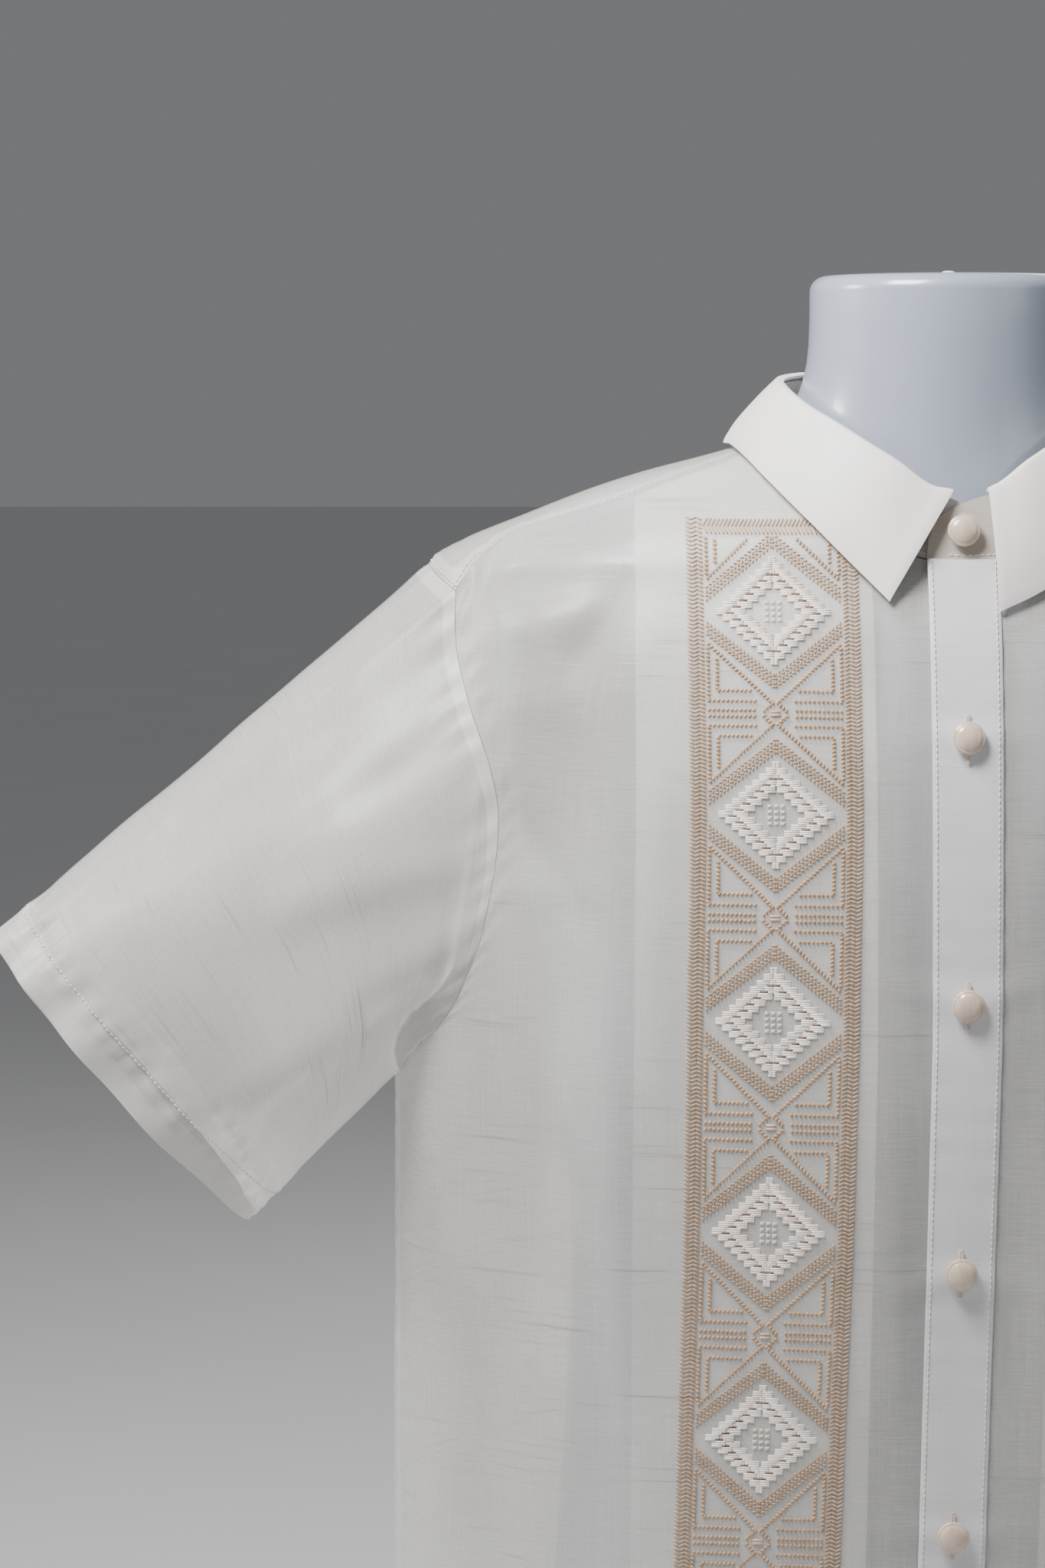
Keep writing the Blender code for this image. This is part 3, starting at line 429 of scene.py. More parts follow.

# %% [markdown]
# Sheer cloth on a form shows long soft folds, and finer creases that start where something holds it: at
# the armholes, the buttons and the collar. Each is a line on the skin with its own width and depth, placed
# one by one and never the same on both sides. One field lifts every panel, so a crease runs across a seam
# unbroken. A slow noise adds the unevenness that no real cloth is without.

# %% Folds and creases
BODY_FOLDS = table("x0 y0 z0 x1 y1 z1 width depth", [
    (-0.180, -0.09, 0.700, -0.190, -0.09, 0.520, 0.026, -0.0050),
    (-0.155, -0.10, 0.640, -0.150, -0.11, 0.360, 0.022, 0.0030),
    (-0.205, -0.07, 0.540, -0.200, -0.08, 0.250, 0.024, -0.0040),
    (-0.190, -0.08, 0.300, -0.215, -0.06, 0.060, 0.030, -0.0045),
    (0.185, -0.09, 0.700, 0.180, -0.09, 0.500, 0.024, -0.0045),
    (0.160, -0.10, 0.620, 0.168, -0.10, 0.330, 0.024, 0.0030),
    (0.215, -0.06, 0.520, 0.198, -0.08, 0.220, 0.026, -0.0045),
    (0.170, 0.09, 0.720, 0.185, 0.09, 0.480, 0.026, -0.0050),
    (-0.175, 0.09, 0.720, -0.180, 0.09, 0.430, 0.028, -0.0050),
    (0.085, 0.11, 0.640, 0.110, 0.11, 0.120, 0.032, -0.0060),
    (-0.095, 0.11, 0.600, -0.080, 0.11, 0.080, 0.030, -0.0055),
    (0.010, 0.12, 0.560, -0.010, 0.12, 0.200, 0.034, 0.0035),
])
CREASES = table("x0 y0 z0 x1 y1 z1 width depth", [
    (-0.204, -0.06, 0.665, -0.160, -0.10, 0.600, 0.009, -0.0016),
    (-0.203, -0.06, 0.620, -0.158, -0.10, 0.490, 0.010, 0.0017),
    (-0.214, -0.05, 0.585, -0.176, -0.09, 0.420, 0.010, -0.0018),
    (-0.226, -0.04, 0.545, -0.205, -0.07, 0.390, 0.011, 0.0020),
    (-0.166, -0.10, 0.520, -0.150, -0.11, 0.330, 0.010, -0.0013),
    (-0.132, -0.10, 0.700, -0.129, -0.11, 0.480, 0.010, 0.0012),
    (-0.060, -0.10, 0.735, -0.034, -0.11, 0.640, 0.008, -0.0009),
    (-0.034, -0.11, 0.560, -0.030, -0.11, 0.410, 0.008, 0.0010),
    (-0.140, -0.10, 0.380, -0.162, -0.10, 0.180, 0.013, 0.0022),
    (-0.118, -0.11, 0.260, -0.132, -0.11, 0.060, 0.013, -0.0020),
    (-0.055, -0.11, 0.240, -0.060, -0.11, 0.050, 0.014, 0.0018),
    (-0.222, -0.04, 0.330, -0.228, -0.03, 0.100, 0.014, 0.0026),
    (-0.150, -0.09, 0.772, -0.175, -0.08, 0.712, 0.009, -0.0011),
    (-0.195, -0.07, 0.752, -0.168, -0.09, 0.690, 0.010, 0.0012),
    (0.204, -0.06, 0.655, 0.166, -0.09, 0.585, 0.009, -0.0017),
    (0.203, -0.06, 0.615, 0.150, -0.10, 0.505, 0.011, 0.0016),
    (0.216, -0.05, 0.575, 0.182, -0.08, 0.400, 0.010, -0.0019),
    (0.130, -0.10, 0.690, 0.136, -0.10, 0.460, 0.011, 0.0012),
    (0.036, -0.11, 0.650, 0.046, -0.11, 0.500, 0.008, -0.0009),
    (0.150, -0.10, 0.400, 0.142, -0.10, 0.170, 0.013, -0.0020),
    (0.120, -0.11, 0.270, 0.128, -0.11, 0.060, 0.012, 0.0021),
    (0.060, -0.11, 0.220, 0.052, -0.11, 0.050, 0.014, -0.0017),
    (0.224, -0.04, 0.350, 0.230, -0.02, 0.110, 0.014, 0.0024),
    (0.212, 0.06, 0.690, 0.150, 0.10, 0.600, 0.011, 0.0018),
    (0.211, 0.06, 0.630, 0.140, 0.11, 0.500, 0.012, -0.0019),
    (0.220, 0.05, 0.580, 0.200, 0.08, 0.400, 0.012, 0.0021),
    (-0.212, 0.06, 0.680, -0.146, 0.10, 0.580, 0.012, -0.0019),
    (-0.211, 0.06, 0.620, -0.160, 0.10, 0.480, 0.011, 0.0018),
    (-0.222, 0.05, 0.570, -0.196, 0.08, 0.370, 0.012, -0.0020),
    (0.045, 0.11, 0.735, 0.050, 0.12, 0.520, 0.012, 0.0017),
    (-0.040, 0.11, 0.735, -0.048, 0.12, 0.540, 0.013, -0.0018),
    (0.140, 0.10, 0.420, 0.150, 0.10, 0.120, 0.015, 0.0028),
    (0.040, 0.12, 0.360, 0.052, 0.11, 0.060, 0.016, -0.0026),
    (-0.040, 0.12, 0.330, -0.030, 0.11, 0.060, 0.015, 0.0025),
    (-0.140, 0.10, 0.400, -0.150, 0.10, 0.090, 0.015, -0.0027),
    (-0.210, 0.06, 0.350, -0.216, 0.05, 0.080, 0.014, 0.0026),
    (0.214, 0.06, 0.300, 0.206, 0.06, 0.070, 0.014, -0.0024),
    (0.080, 0.06, 0.800, 0.135, 0.05, 0.772, 0.008, 0.0009),
    (-0.078, 0.06, 0.800, -0.140, 0.05, 0.770, 0.009, -0.0009),
    (-0.110, -0.05, 0.795, -0.150, -0.06, 0.775, 0.009, 0.0010),
])
RIDGES = table("x0 y0 z0 x1 y1 z1 width depth", [
    (-0.152, -0.10, 0.730, -0.150, -0.11, 0.390, 0.012, 0.0034),
    (-0.185, -0.08, 0.705, -0.182, -0.09, 0.620, 0.028, -0.0042),
    (-0.204, -0.06, 0.733, -0.160, -0.09, 0.752, 0.011, 0.0024),
    (-0.176, -0.09, 0.600, -0.186, -0.09, 0.430, 0.013, -0.0028),
    (0.150, -0.10, 0.710, 0.154, -0.11, 0.410, 0.013, 0.0030),
    (0.184, -0.08, 0.700, 0.180, -0.09, 0.610, 0.027, -0.0038),
    (0.203, -0.06, 0.734, 0.165, -0.09, 0.750, 0.011, 0.0022),
    (-0.168, 0.09, 0.720, -0.160, 0.10, 0.400, 0.014, -0.0030),
    (0.150, 0.10, 0.700, 0.140, 0.11, 0.380, 0.014, 0.0032),
    (-0.120, -0.11, 0.330, -0.175, -0.09, 0.130, 0.020, 0.0030),
    (-0.205, -0.06, 0.420, -0.190, -0.08, 0.120, 0.018, -0.0034),
    (0.125, -0.11, 0.320, 0.165, -0.10, 0.110, 0.020, 0.0030),
    (-0.036, -0.11, 0.700, -0.030, -0.11, 0.560, 0.009, 0.0016),
    (0.040, -0.11, 0.540, 0.034, -0.11, 0.330, 0.010, 0.0020),
    (-0.034, -0.11, 0.330, -0.040, -0.11, 0.140, 0.010, -0.0020),
])
CREASE_STRENGTH = 1.5
RIDGE_STRENGTH = 1.35
BUTTON_HEIGHTS = (0.687, 0.575, 0.460, 0.345, 0.230, 0.115)
BUTTON_PULL = 0.0011
PULL_REACH = 0.030
PULL_WIDTH = 0.007
UNEVEN = 0.0013


def crease_lift(points, rows):
    """How far the lines of a table lift the cloth at points."""
    lift = np.zeros(points.shape[:-1])
    starts = onto_skin(np.stack([rows["x0"], rows["y0"], rows["z0"]], axis=-1))
    ends = onto_skin(np.stack([rows["x1"], rows["y1"], rows["z1"]], axis=-1))
    for start, end, width, depth in zip(starts, ends, rows["width"], rows["depth"]):
        line = end - start
        inside = np.clip(((points - start) @ line) / (line @ line), 0, 1)
        far = np.linalg.norm(points - start - inside[..., None] * line, axis=-1)
        taper = np.sin(np.pi * np.clip(0.08 + 0.84 * inside, 0, 1))
        lift += depth * taper * np.exp(-(far / width) ** 2)
    return lift


def noise_at(points, seed, scale):
    """A slow noise from -1 to 1 at points, stretched by a scale on each axis."""
    places = (points * np.array(scale)).reshape(-1, 3)
    values = [noise.noise(Vector(place) + Vector((seed, 0, 0))) for place in places]
    return np.array(values).reshape(points.shape[:-1])


def button_pull(points):
    """Short level creases that each button pulls into the cloth beside it."""
    lift = np.zeros(points.shape[:-1])
    front = (points[..., 1] < 0) * np.exp(-(np.abs(points[..., 0]) / PULL_REACH) ** 2)
    for number, height in enumerate(BUTTON_HEIGHTS):
        drop = points[..., 2] - height - 0.010 * math.sin(2.1 * number) * np.abs(points[..., 0]) / 0.03
        lift += BUTTON_PULL * front * np.exp(-(drop / PULL_WIDTH) ** 2)
    return lift


def body_lift(points):
    """Everything that lifts the body's cloth off its smooth skin."""
    lift = crease_lift(points, BODY_FOLDS) + RIDGE_STRENGTH * crease_lift(points, RIDGES)
    lift = lift + CREASE_STRENGTH * crease_lift(points, CREASES) + button_pull(points)
    still = 0.35 + 0.65 * ease(0.79 - points[..., 2], 0.0, 0.20)
    wide = noise_at(points, 3.0, (22, 22, 7)) + 0.45 * noise_at(points, 9.0, (55, 55, 22))
    return lift + UNEVEN * still * wide


# %% [markdown]
# A cloth piece is a closed wall a few tenths of a millimetre thick. Its UV map is in metres and
# follows the threads, so that the slubs of the weave lie level however the panel curves. Each point
# also keeps how far it is inside the turned edge, because cloth that is doubled there looks denser.

# %% Making a cloth wall
CLOTH = 0.0004
TURNED = 0.007
HEM_DEPTH = 0.020
PUCKER = 0.0005


def wall_faces(index, count, ring):
    """Faces of a wall whose outer points are numbered by index and inner ones count later."""
    quads = [np.stack([index[:-1, :-1], index[:-1, 1:], index[1:, 1:], index[1:, :-1]], axis=-1)]
    quads.append(quads[0][..., ::-1] + count)
    low, high = index[0], index[-1]
    quads.append(np.stack([low[1:], low[:-1], low[:-1] + count, low[1:] + count], axis=-1))
    quads.append(np.stack([high[:-1], high[1:], high[1:] + count, high[:-1] + count], axis=-1))
    if not ring:
        low, high = index[:, 0], index[:, -1]
        quads.append(np.stack([low[:-1], low[1:], low[1:] + count, low[:-1] + count], axis=-1))
        quads.append(np.stack([high[1:], high[:-1], high[:-1] + count, high[1:] + count], axis=-1))
    return np.concatenate([part.reshape(-1, 4) for part in quads])


def grid_normals(grid, away, ring=False):
    """Outward directions of a grid's points, and whether its faces have to be turned round."""
    across = np.roll(grid, -1, axis=1) - np.roll(grid, 1, axis=1) if ring else np.gradient(grid, axis=1)
    normal = unit(np.cross(across, np.gradient(grid, axis=0)))
    turned = (normal * away).sum() < 0
    return (-normal if turned else normal), turned


def cloth_wall(name, outer, away, wall, finish, uv, turned_edge=None, ring=False):
    """A closed thin wall under an outer grid, with its thread map and its turned edges."""
    normal, turned = grid_normals(outer, away, ring)
    rows, columns = outer.shape[:2]
    inner = outer - normal * np.broadcast_to(wall, (rows, columns))[..., None]
    count = rows * columns
    index = np.arange(count).reshape(rows, columns)
    if ring:
        index = np.concatenate([index, index[:, :1]], axis=1)
    faces = wall_faces(index, count, ring)
    places = uv.shape[0] * uv.shape[1]
    corners = wall_faces(np.arange(places).reshape(uv.shape[:2]), places, ring)
    if turned:
        faces, corners = faces[:, ::-1], corners[:, ::-1]
    mesh = bpy.data.meshes.new(name)
    mesh.from_pydata(np.concatenate([outer.reshape(-1, 3), inner.reshape(-1, 3)]).tolist(), [],
                     faces.tolist())
    layer = mesh.uv_layers.new(name="threads")
    layer.data.foreach_set("uv", np.tile(uv.reshape(-1, 2), (2, 1))[corners.ravel()].ravel())
    if turned_edge is not None:
        mark = mesh.attributes.new("turned", "FLOAT", "POINT")
        mark.data.foreach_set("value", np.tile(turned_edge.ravel(), 2).astype(np.float32))
    mesh.materials.append(finish)
    mesh.shade_smooth()
    mesh.set_sharp_from_angle(angle=math.radians(55))
    return placed(name, mesh)


def edge_gaps(grid):
    """Distances of a grid's points from its bottom, top, left and right edges along the cloth."""
    up = np.linalg.norm(np.diff(grid, axis=0), axis=-1)
    over = np.linalg.norm(np.diff(grid, axis=1), axis=-1)
    bottom = np.vstack([np.zeros(grid.shape[1]), np.cumsum(up, axis=0)])
    left = np.hstack([np.zeros((grid.shape[0], 1)), np.cumsum(over, axis=1)])
    return {"bottom": bottom, "top": bottom[-1] - bottom, "left": left,
            "right": left[:, -1:] - left}


def ripple(walk, length, seed):
    """An uneven wave along a sewn line."""
    return np.sin(2 * np.pi * walk / length + 1.7 * np.sin(2 * np.pi * walk / (4.6 * length) + seed))


PROFILE_HEIGHTS = np.linspace(HEM_HEIGHT, 0.820, 200)
PROFILE_RUN = np.concatenate([[0], np.cumsum(np.hypot(
    np.diff(PROFILE_HEIGHTS), np.diff(between(SKIN, "height", "front", PROFILE_HEIGHTS))))])
ROUND_ANGLES = np.linspace(0, 180, 181)
ROUND_RUN = {}
for facing in (-1, 1):
    outline = round_skin(facing * 90 + ROUND_ANGLES, 0.400)
    ROUND_RUN[facing] = np.concatenate([[0], np.cumsum(np.linalg.norm(np.diff(outline, axis=0), axis=1))])


def thread_map(points, facing):
    """Where the cloth's level and upright threads run, in metres from the middle and the hem."""
    height = points[..., 2]
    angle = np.degrees(np.arctan2(points[..., 1] - between(SKIN, "height", "centre", height),
                                  points[..., 0]))
    angle = (angle - facing * 90 + 180) % 360 - 180
    round_way = np.interp(np.abs(angle), ROUND_ANGLES, ROUND_RUN[facing]) * np.sign(angle)
    scale = between(SKIN, "height", "half_width", height) / SKIN["half_width"][2]
    return np.stack([round_way * scale, np.interp(height, PROFILE_HEIGHTS, PROFILE_RUN)], axis=-1)


def sewn_lift(gaps, edges, doubled=(), hem=True):
    """Puckers along a panel's sewn edges, and how far each point is from doubled cloth."""
    turned_edge = np.full(gaps["bottom"].shape, 1.0)
    lift = np.zeros(turned_edge.shape)
    for number, edge in enumerate(edges):
        gap = gaps[edge]
        walk = gaps["bottom"] if edge in ("left", "right") else gaps["left"]
        near = np.exp(-(gap / 0.013) ** 2) * ease(gap, 0.0, 0.005)
        lift += PUCKER * near * ripple(walk, 0.015, 1.3 * number)
        if edge in doubled:
            turned_edge = np.minimum(turned_edge, gap - TURNED)
    if hem:
        gap = gaps["bottom"]
        turned_edge = np.minimum(turned_edge, gap - HEM_DEPTH)
        lift += PUCKER * np.exp(-((gap - HEM_DEPTH) / 0.008) ** 2) * ripple(gaps["left"], 0.016, 2.0)
        lift += 0.0016 * ease(0.06 - gap, 0, 0.06) * ripple(gaps["left"], 0.085, 0.5)
        lift += 0.0003 * ease(HEM_DEPTH - gap, -0.0015, 0.0015)
    return lift, turned_edge


# %% [markdown]
# The cloth is organza with slubs: threads that thicken and thin along their length. A shader node
# group draws it once for all pieces. One noise is pulled out into long level streaks, and a slow one
# lets them through here and there; two finer ones are the level and the upright threads. They vary
# the colour, how much shows through, and the bumps. The Alpha
# socket is the plain way to a sheer cloth: every layer hides a share of what is behind it, so the
# sleeves and the facings get denser where the layers add up, as they do in the real shirt.

# %% Finishes


def add(tree, kind, inputs=None, **settings):
    """A node with its settings and its inputs, each a value or another node's output."""
    made = tree.nodes.new(kind)
    for name, value in settings.items():
        setattr(made, name, value)
    for name, value in (inputs or {}).items():
        if isinstance(value, bpy.types.NodeSocket):
            tree.links.new(value, made.inputs[name])
        else:
            made.inputs[name].default_value = value
    return made


def new_group(name, inputs, outputs):
    """An empty shader node group with its sockets."""
    tree = bpy.data.node_groups.new(name, "ShaderNodeTree")
    for socket, kind in inputs:
        tree.interface.new_socket(socket, in_out="INPUT", socket_type=kind)
    for socket, kind in outputs:
        tree.interface.new_socket(socket, in_out="OUTPUT", socket_type=kind)
    return tree, tree.nodes.new("NodeGroupInput").outputs, tree.nodes.new("NodeGroupOutput").inputs


def stretched_noise(tree, vector, scale, detail):
    """A noise pulled out along the threads."""
    mapping = add(tree, "ShaderNodeMapping", {"Vector": vector, "Scale": scale})
    return add(tree, "ShaderNodeTexNoise", {"Vector": mapping.outputs["Vector"], "Scale": 1.0,
                                            "Detail": detail, "Roughness": 0.55}).outputs["Fac"]


def mixed(tree, share, low, high):
    """A colour between two others."""
    made = add(tree, "ShaderNodeMix", {"Factor": share}, data_type="RGBA")
    made.inputs[6].default_value = (*low, 1)
    made.inputs[7].default_value = (*high, 1)
    return made.outputs[2]


def ranged(tree, value, low, high, start=0.0, end=1.0):
    """A value moved from one range to another."""
    return add(tree, "ShaderNodeMapRange", {"Value": value, "From Min": start, "From Max": end,
                                            "To Min": low, "To Max": high}).outputs["Result"]


def summed(tree, operation, first, second, kind="ShaderNodeMath"):
    """Two values, or two vectors, joined by one operation."""
    made = tree.nodes.new(kind)
    made.operation = operation
    for place, value in enumerate((first, second)):
        if isinstance(value, bpy.types.NodeSocket):
            tree.links.new(value, made.inputs[place])
        else:
            made.inputs[place].default_value = value
    return made.outputs[0]


def make_weave():
    """The slubbed weave: sparse thick threads, fine ones, and both as bumps."""
    tree, given, result = new_group(
        "slubbed_weave", [("Vector", "NodeSocketVector"), ("Slub strength", "NodeSocketFloat")],
        [("Slubs", "NodeSocketFloat"), ("Threads", "NodeSocketFloat"), ("Height", "NodeSocketFloat")])
    slubs = stretched_noise(tree, given["Vector"], (13, 720, 1), 2.0)
    where = stretched_noise(tree, given["Vector"], (8, 30, 1), 2.0)
    level = stretched_noise(tree, given["Vector"], (60, 2100, 1), 2.0)
    upright = stretched_noise(tree, given["Vector"], (1500, 22, 1), 2.0)
    thick = ranged(tree, slubs, 0.0, 1.0, 0.60, 0.70)
    here = ranged(tree, where, 0.0, 1.0, 0.42, 0.54)
    strong = summed(tree, "MULTIPLY", summed(tree, "MULTIPLY", thick, here), given["Slub strength"])
    fine = summed(tree, "ADD", ranged(tree, level, 0.0, 0.6, 0.3, 0.7),
                  ranged(tree, upright, 0.0, 0.4, 0.3, 0.7))
    tree.links.new(strong, result["Slubs"])
    tree.links.new(fine, result["Threads"])
    tree.links.new(summed(tree, "ADD", strong, summed(tree, "MULTIPLY", fine, 0.35)), result["Height"])
    return tree


WEAVE = make_weave()


def new_finish(name, roughness, sheen=0.0, coat=0.0, specular=0.5):
    """A material with its plain numbers on the shader's own sockets."""
    material = bpy.data.materials.new(name)
    material.use_nodes = True
    shader = material.node_tree.nodes["Principled BSDF"]
    shader.inputs["Roughness"].default_value = roughness
    shader.inputs["Sheen Weight"].default_value = sheen
    shader.inputs["Coat Weight"].default_value = coat
    shader.inputs["Coat Roughness"].default_value = 0.12
    shader.inputs["Specular IOR Level"].default_value = specular
    return material, material.node_tree, shader


def bumped(tree, shader, height, strength, distance):
    """Bumps on a shader's normal."""
    bump = add(tree, "ShaderNodeBump", {"Height": height, "Strength": strength, "Distance": distance})
    tree.links.new(bump.outputs["Normal"], shader.inputs["Normal"])


def cloth_finish(name, dark, light, cover, doubled, slub, roughness, sheen):
    """Slubbed cloth that hides a share of what is behind it, more where its edge is turned."""
    material, tree, shader = new_finish(name, roughness, sheen, specular=0.5)
    vector = add(tree, "ShaderNodeUVMap", uv_map="threads").outputs["UV"]
    weave = add(tree, "ShaderNodeGroup", node_tree=WEAVE)
    tree.links.new(vector, weave.inputs["Vector"])
    weave.inputs["Slub strength"].default_value = slub
    slubs, threads = weave.outputs["Slubs"], weave.outputs["Threads"]
    # Painted sheen: the slow patches lighten the cloth's colour in broad random clouds that stand in for
    # its satin lustre, while the threads add the weave's own fine variation.
    patches = stretched_noise(tree, vector, (9, 7, 1), 2.0)
    bright = summed(tree, "ADD", ranged(tree, patches, 0.45, 0.80, 0.3, 0.7),
                    summed(tree, "MULTIPLY", threads, 0.14))
    plain = mixed(tree, bright, dark, light)
    slubbed = add(tree, "ShaderNodeMix", {"Factor": summed(tree, "MULTIPLY", slubs, 0.85)},
                  data_type="RGBA")
    tree.links.new(plain, slubbed.inputs[6])
    slubbed.inputs[7].default_value = (*(0.62 * part for part in dark), 1)
    tree.links.new(slubbed.outputs[2], shader.inputs["Base Color"])
    if cover < 1:
        hidden = summed(tree, "ADD", ranged(tree, threads, cover - 0.05, cover + 0.05),
                        summed(tree, "MULTIPLY", slubs, 0.30))
        if doubled > 0:
            turned = add(tree, "ShaderNodeAttribute", attribute_name="turned").outputs["Fac"]
            extra = ranged(tree, turned, doubled, 0.0, -0.0006, 0.0006)
            hidden = summed(tree, "ADD", hidden, extra)
        tree.links.new(hidden, shader.inputs["Alpha"])
    bumped(tree, shader, weave.outputs["Height"], 0.30, 0.00022)
    return material


SHEER = cloth_finish("sheer_cloth", (0.60, 0.58, 0.53), (0.92, 0.90, 0.84), 0.30, 0.14, 1.0, 0.32, 0.30)
BACKING = cloth_finish("backing_cloth", (0.74, 0.75, 0.75), (0.90, 0.91, 0.92), 0.52, 0.0, 0.2, 0.60, 0.15)
FACED = cloth_finish("collar_cloth", (0.76, 0.72, 0.69), (0.92, 0.88, 0.85), 1.0, 0.0, 0.22, 0.50, 0.30)
BANDED = cloth_finish("band_cloth", (0.72, 0.71, 0.73), (0.90, 0.89, 0.91), 0.80, 0.0, 0.45, 0.42, 0.30)
# The stand's darker tan is partly the warm tone of its layered cloth and partly painted shade for the
# shadow that the stand sits in.
STAND_TAN_AND_SHADE = cloth_finish("stand_cloth", (0.52, 0.46, 0.39), (0.74, 0.67, 0.60), 0.66, 0.0, 0.3, 0.45, 0.20)


def thread_finish():
    """Silk thread, tan or pale by its tone, with a soft lustre, and a painted-shadow brown for the slot
    stitches.
    """
    material, tree, shader = new_finish("embroidery_thread", 0.45, 0.1, specular=0.35)
    tone = add(tree, "ShaderNodeAttribute", attribute_name="tone").outputs["Fac"]
    place = add(tree, "ShaderNodeTexCoord").outputs["Object"]
    patches = stretched_noise(tree, place, (260, 260, 260), 2.0)
    tan = mixed(tree, patches, (0.35, 0.195, 0.095), (0.72, 0.47, 0.28))
    pale = mixed(tree, patches, (0.82, 0.71, 0.64), (0.95, 0.88, 0.83))
    both = add(tree, "ShaderNodeMix", {"Factor": tone}, data_type="RGBA")
    tree.links.new(tan, both.inputs[6])
    tree.links.new(pale, both.inputs[7])
    # Painted shadow: stitches with the SHADOW tone take a near-black brown that stands in for the shade in
    # the joints between satin bricks.
    slot = add(tree, "ShaderNodeMix", {"Factor": ranged(tree, tone, 1.0, 0.0, -0.7, -0.2)},
               data_type="RGBA")
    tree.links.new(both.outputs[2], slot.inputs[6])
    slot.inputs[7].default_value = (0.17, 0.10, 0.06, 1)
    tree.links.new(slot.outputs[2], shader.inputs["Base Color"])
    twist = stretched_noise(tree, place, (1800, 1800, 1800), 1.0)
    bumped(tree, shader, twist, 0.5, 0.0002)
    return material


def gloss_finish(name, dark, light, scale, roughness, coat, bump):
    """A moulded glossy finish whose colour and polish vary a little."""
    material, tree, shader = new_finish(name, roughness, coat=coat)
    place = add(tree, "ShaderNodeTexCoord").outputs["Object"]
    clouds = stretched_noise(tree, place, scale, 3.0)
    tree.links.new(mixed(tree, clouds, dark, light), shader.inputs["Base Color"])
    tree.links.new(ranged(tree, clouds, roughness - 0.05, roughness + 0.07), shader.inputs["Roughness"])
    bumped(tree, shader, stretched_noise(tree, place, (180, 180, 180), 2.0), bump, 0.0004)
    return material


def paint_arm_plate_shade(material):
    """Paint shade into the form's colour round its arm plates, where they fall away from the sheer cloth
    and lie in shadow.
    """
    tree = material.node_tree
    shader = tree.nodes["Principled BSDF"]
    gloss = shader.inputs["Base Color"].links[0].from_socket
    place = add(tree, "ShaderNodeTexCoord").outputs["Object"]
    either = add(tree, "ShaderNodeVectorMath", {"Vector": place}, operation="ABSOLUTE").outputs["Vector"]
    squat = summed(tree, "MULTIPLY", either, ARM_SHADE_SQUEEZE, "ShaderNodeVectorMath")
    away = add(tree, "ShaderNodeVectorMath", {"Vector": squat}, operation="DISTANCE")
    away.inputs[1].default_value = [a * b for a, b in zip(ARM_SHADE_CENTRE, ARM_SHADE_SQUEEZE)]
    near = ranged(tree, away.outputs["Value"], 0.95, 0.0, 0.025, 0.070)
    shaded = add(tree, "ShaderNodeMix", {"Factor": near}, data_type="RGBA")
    tree.links.new(gloss, shaded.inputs[6])
    # Painted shade: a near-black colour mixed into the form round each arm plate, where the hollow behind
    # the cloth lies in shadow.
    shaded.inputs[7].default_value = (0.06, 0.06, 0.08, 1)
    tree.links.new(shaded.outputs[2], shader.inputs["Base Color"])


# Centre and squeeze of the painted shade round the arm plates.
ARM_SHADE_CENTRE = (0.176, 0.052, 0.700)
ARM_SHADE_SQUEEZE = (1.0, 1.0, 0.5)
THREAD = thread_finish()
SHELL = gloss_finish("button_shell", (0.50, 0.36, 0.26), (0.80, 0.67, 0.55), (320, 320, 160), 0.20, 0.6,
                     0.10)
FORM = gloss_finish("form_gloss", (0.28, 0.31, 0.38), (0.38, 0.42, 0.50), (14, 14, 9), 0.26, 0.5, 0.06)
# The form gets painted shade round its arm plates.
paint_arm_plate_shade(FORM)
PIN = gloss_finish("pin_white", (0.66, 0.69, 0.74), (0.82, 0.84, 0.88), (200, 200, 200), 0.35, 0.1, 0.05)

# %% [markdown]
# The fronts, the back and the yoke now get their walls. The wearer's left front laps over the right
# one at the band, so the right front sinks under it there, as it does when a shirt is buttoned.

# %% The body's cloth
MAP_TOP = 0.55


def body_panel(name, grid, facing, edges, doubled=(), hem=True, sink=None):
    """A panel of the body with its folds, its puckered seams and its turned edges."""
    gaps = edge_gaps(grid)
    lift, turned_edge = sewn_lift(gaps, edges, doubled, hem)
    lift = lift + body_lift(grid)
    if sink is not None:
        lift = lift - sink
    away = outward(grid)
    outer = grid + away * lift[..., None]
    uv = thread_map(grid, facing) if facing else grid[..., :2] + np.array([0.0, MAP_TOP])
    return cloth_wall(name, outer, away, CLOTH, SHEER, uv, turned_edge), outer, away


underlap = np.zeros(right_front.shape[:2])
underlap[:, :BAND_COUNT + 1] = WALL + SEAM
underlap[:, BAND_COUNT + 1:BAND_COUNT + 4] = (WALL + SEAM) * np.array([0.75, 0.4, 0.1])
front_left, left_outer, left_away = body_panel("front_left_cloth", left_front, -1, ("right", "top"))
front_right, right_outer, right_away = body_panel("front_right_cloth", right_front, -1,
                                                  ("right", "top"), sink=underlap)
ALL_SEAMS = ("left", "right", "top")
back, back_outer, back_away = body_panel("back_cloth", back_panel, 1, ALL_SEAMS, ("left", "right"))
yoke, yoke_outer, yoke_away = body_panel("yoke_cloth", yoke_panel, 0, ALL_SEAMS, ALL_SEAMS, hem=False)


def facing_wall(name, outer, away, grid):
    """The plain cloth that backs the embroidery, just behind a front."""
    first = BAND_COUNT + LAP_COUNT
    part = slice(first, first + NECK_COUNT + FACING_COUNT + 1, 2)
    points = outer[::2, part] - away[::2, part] * (WALL + SEAM)
    uv = thread_map(grid[::2, part], -1)
    return cloth_wall(name, points, away[::2, part], CLOTH, BACKING, uv)


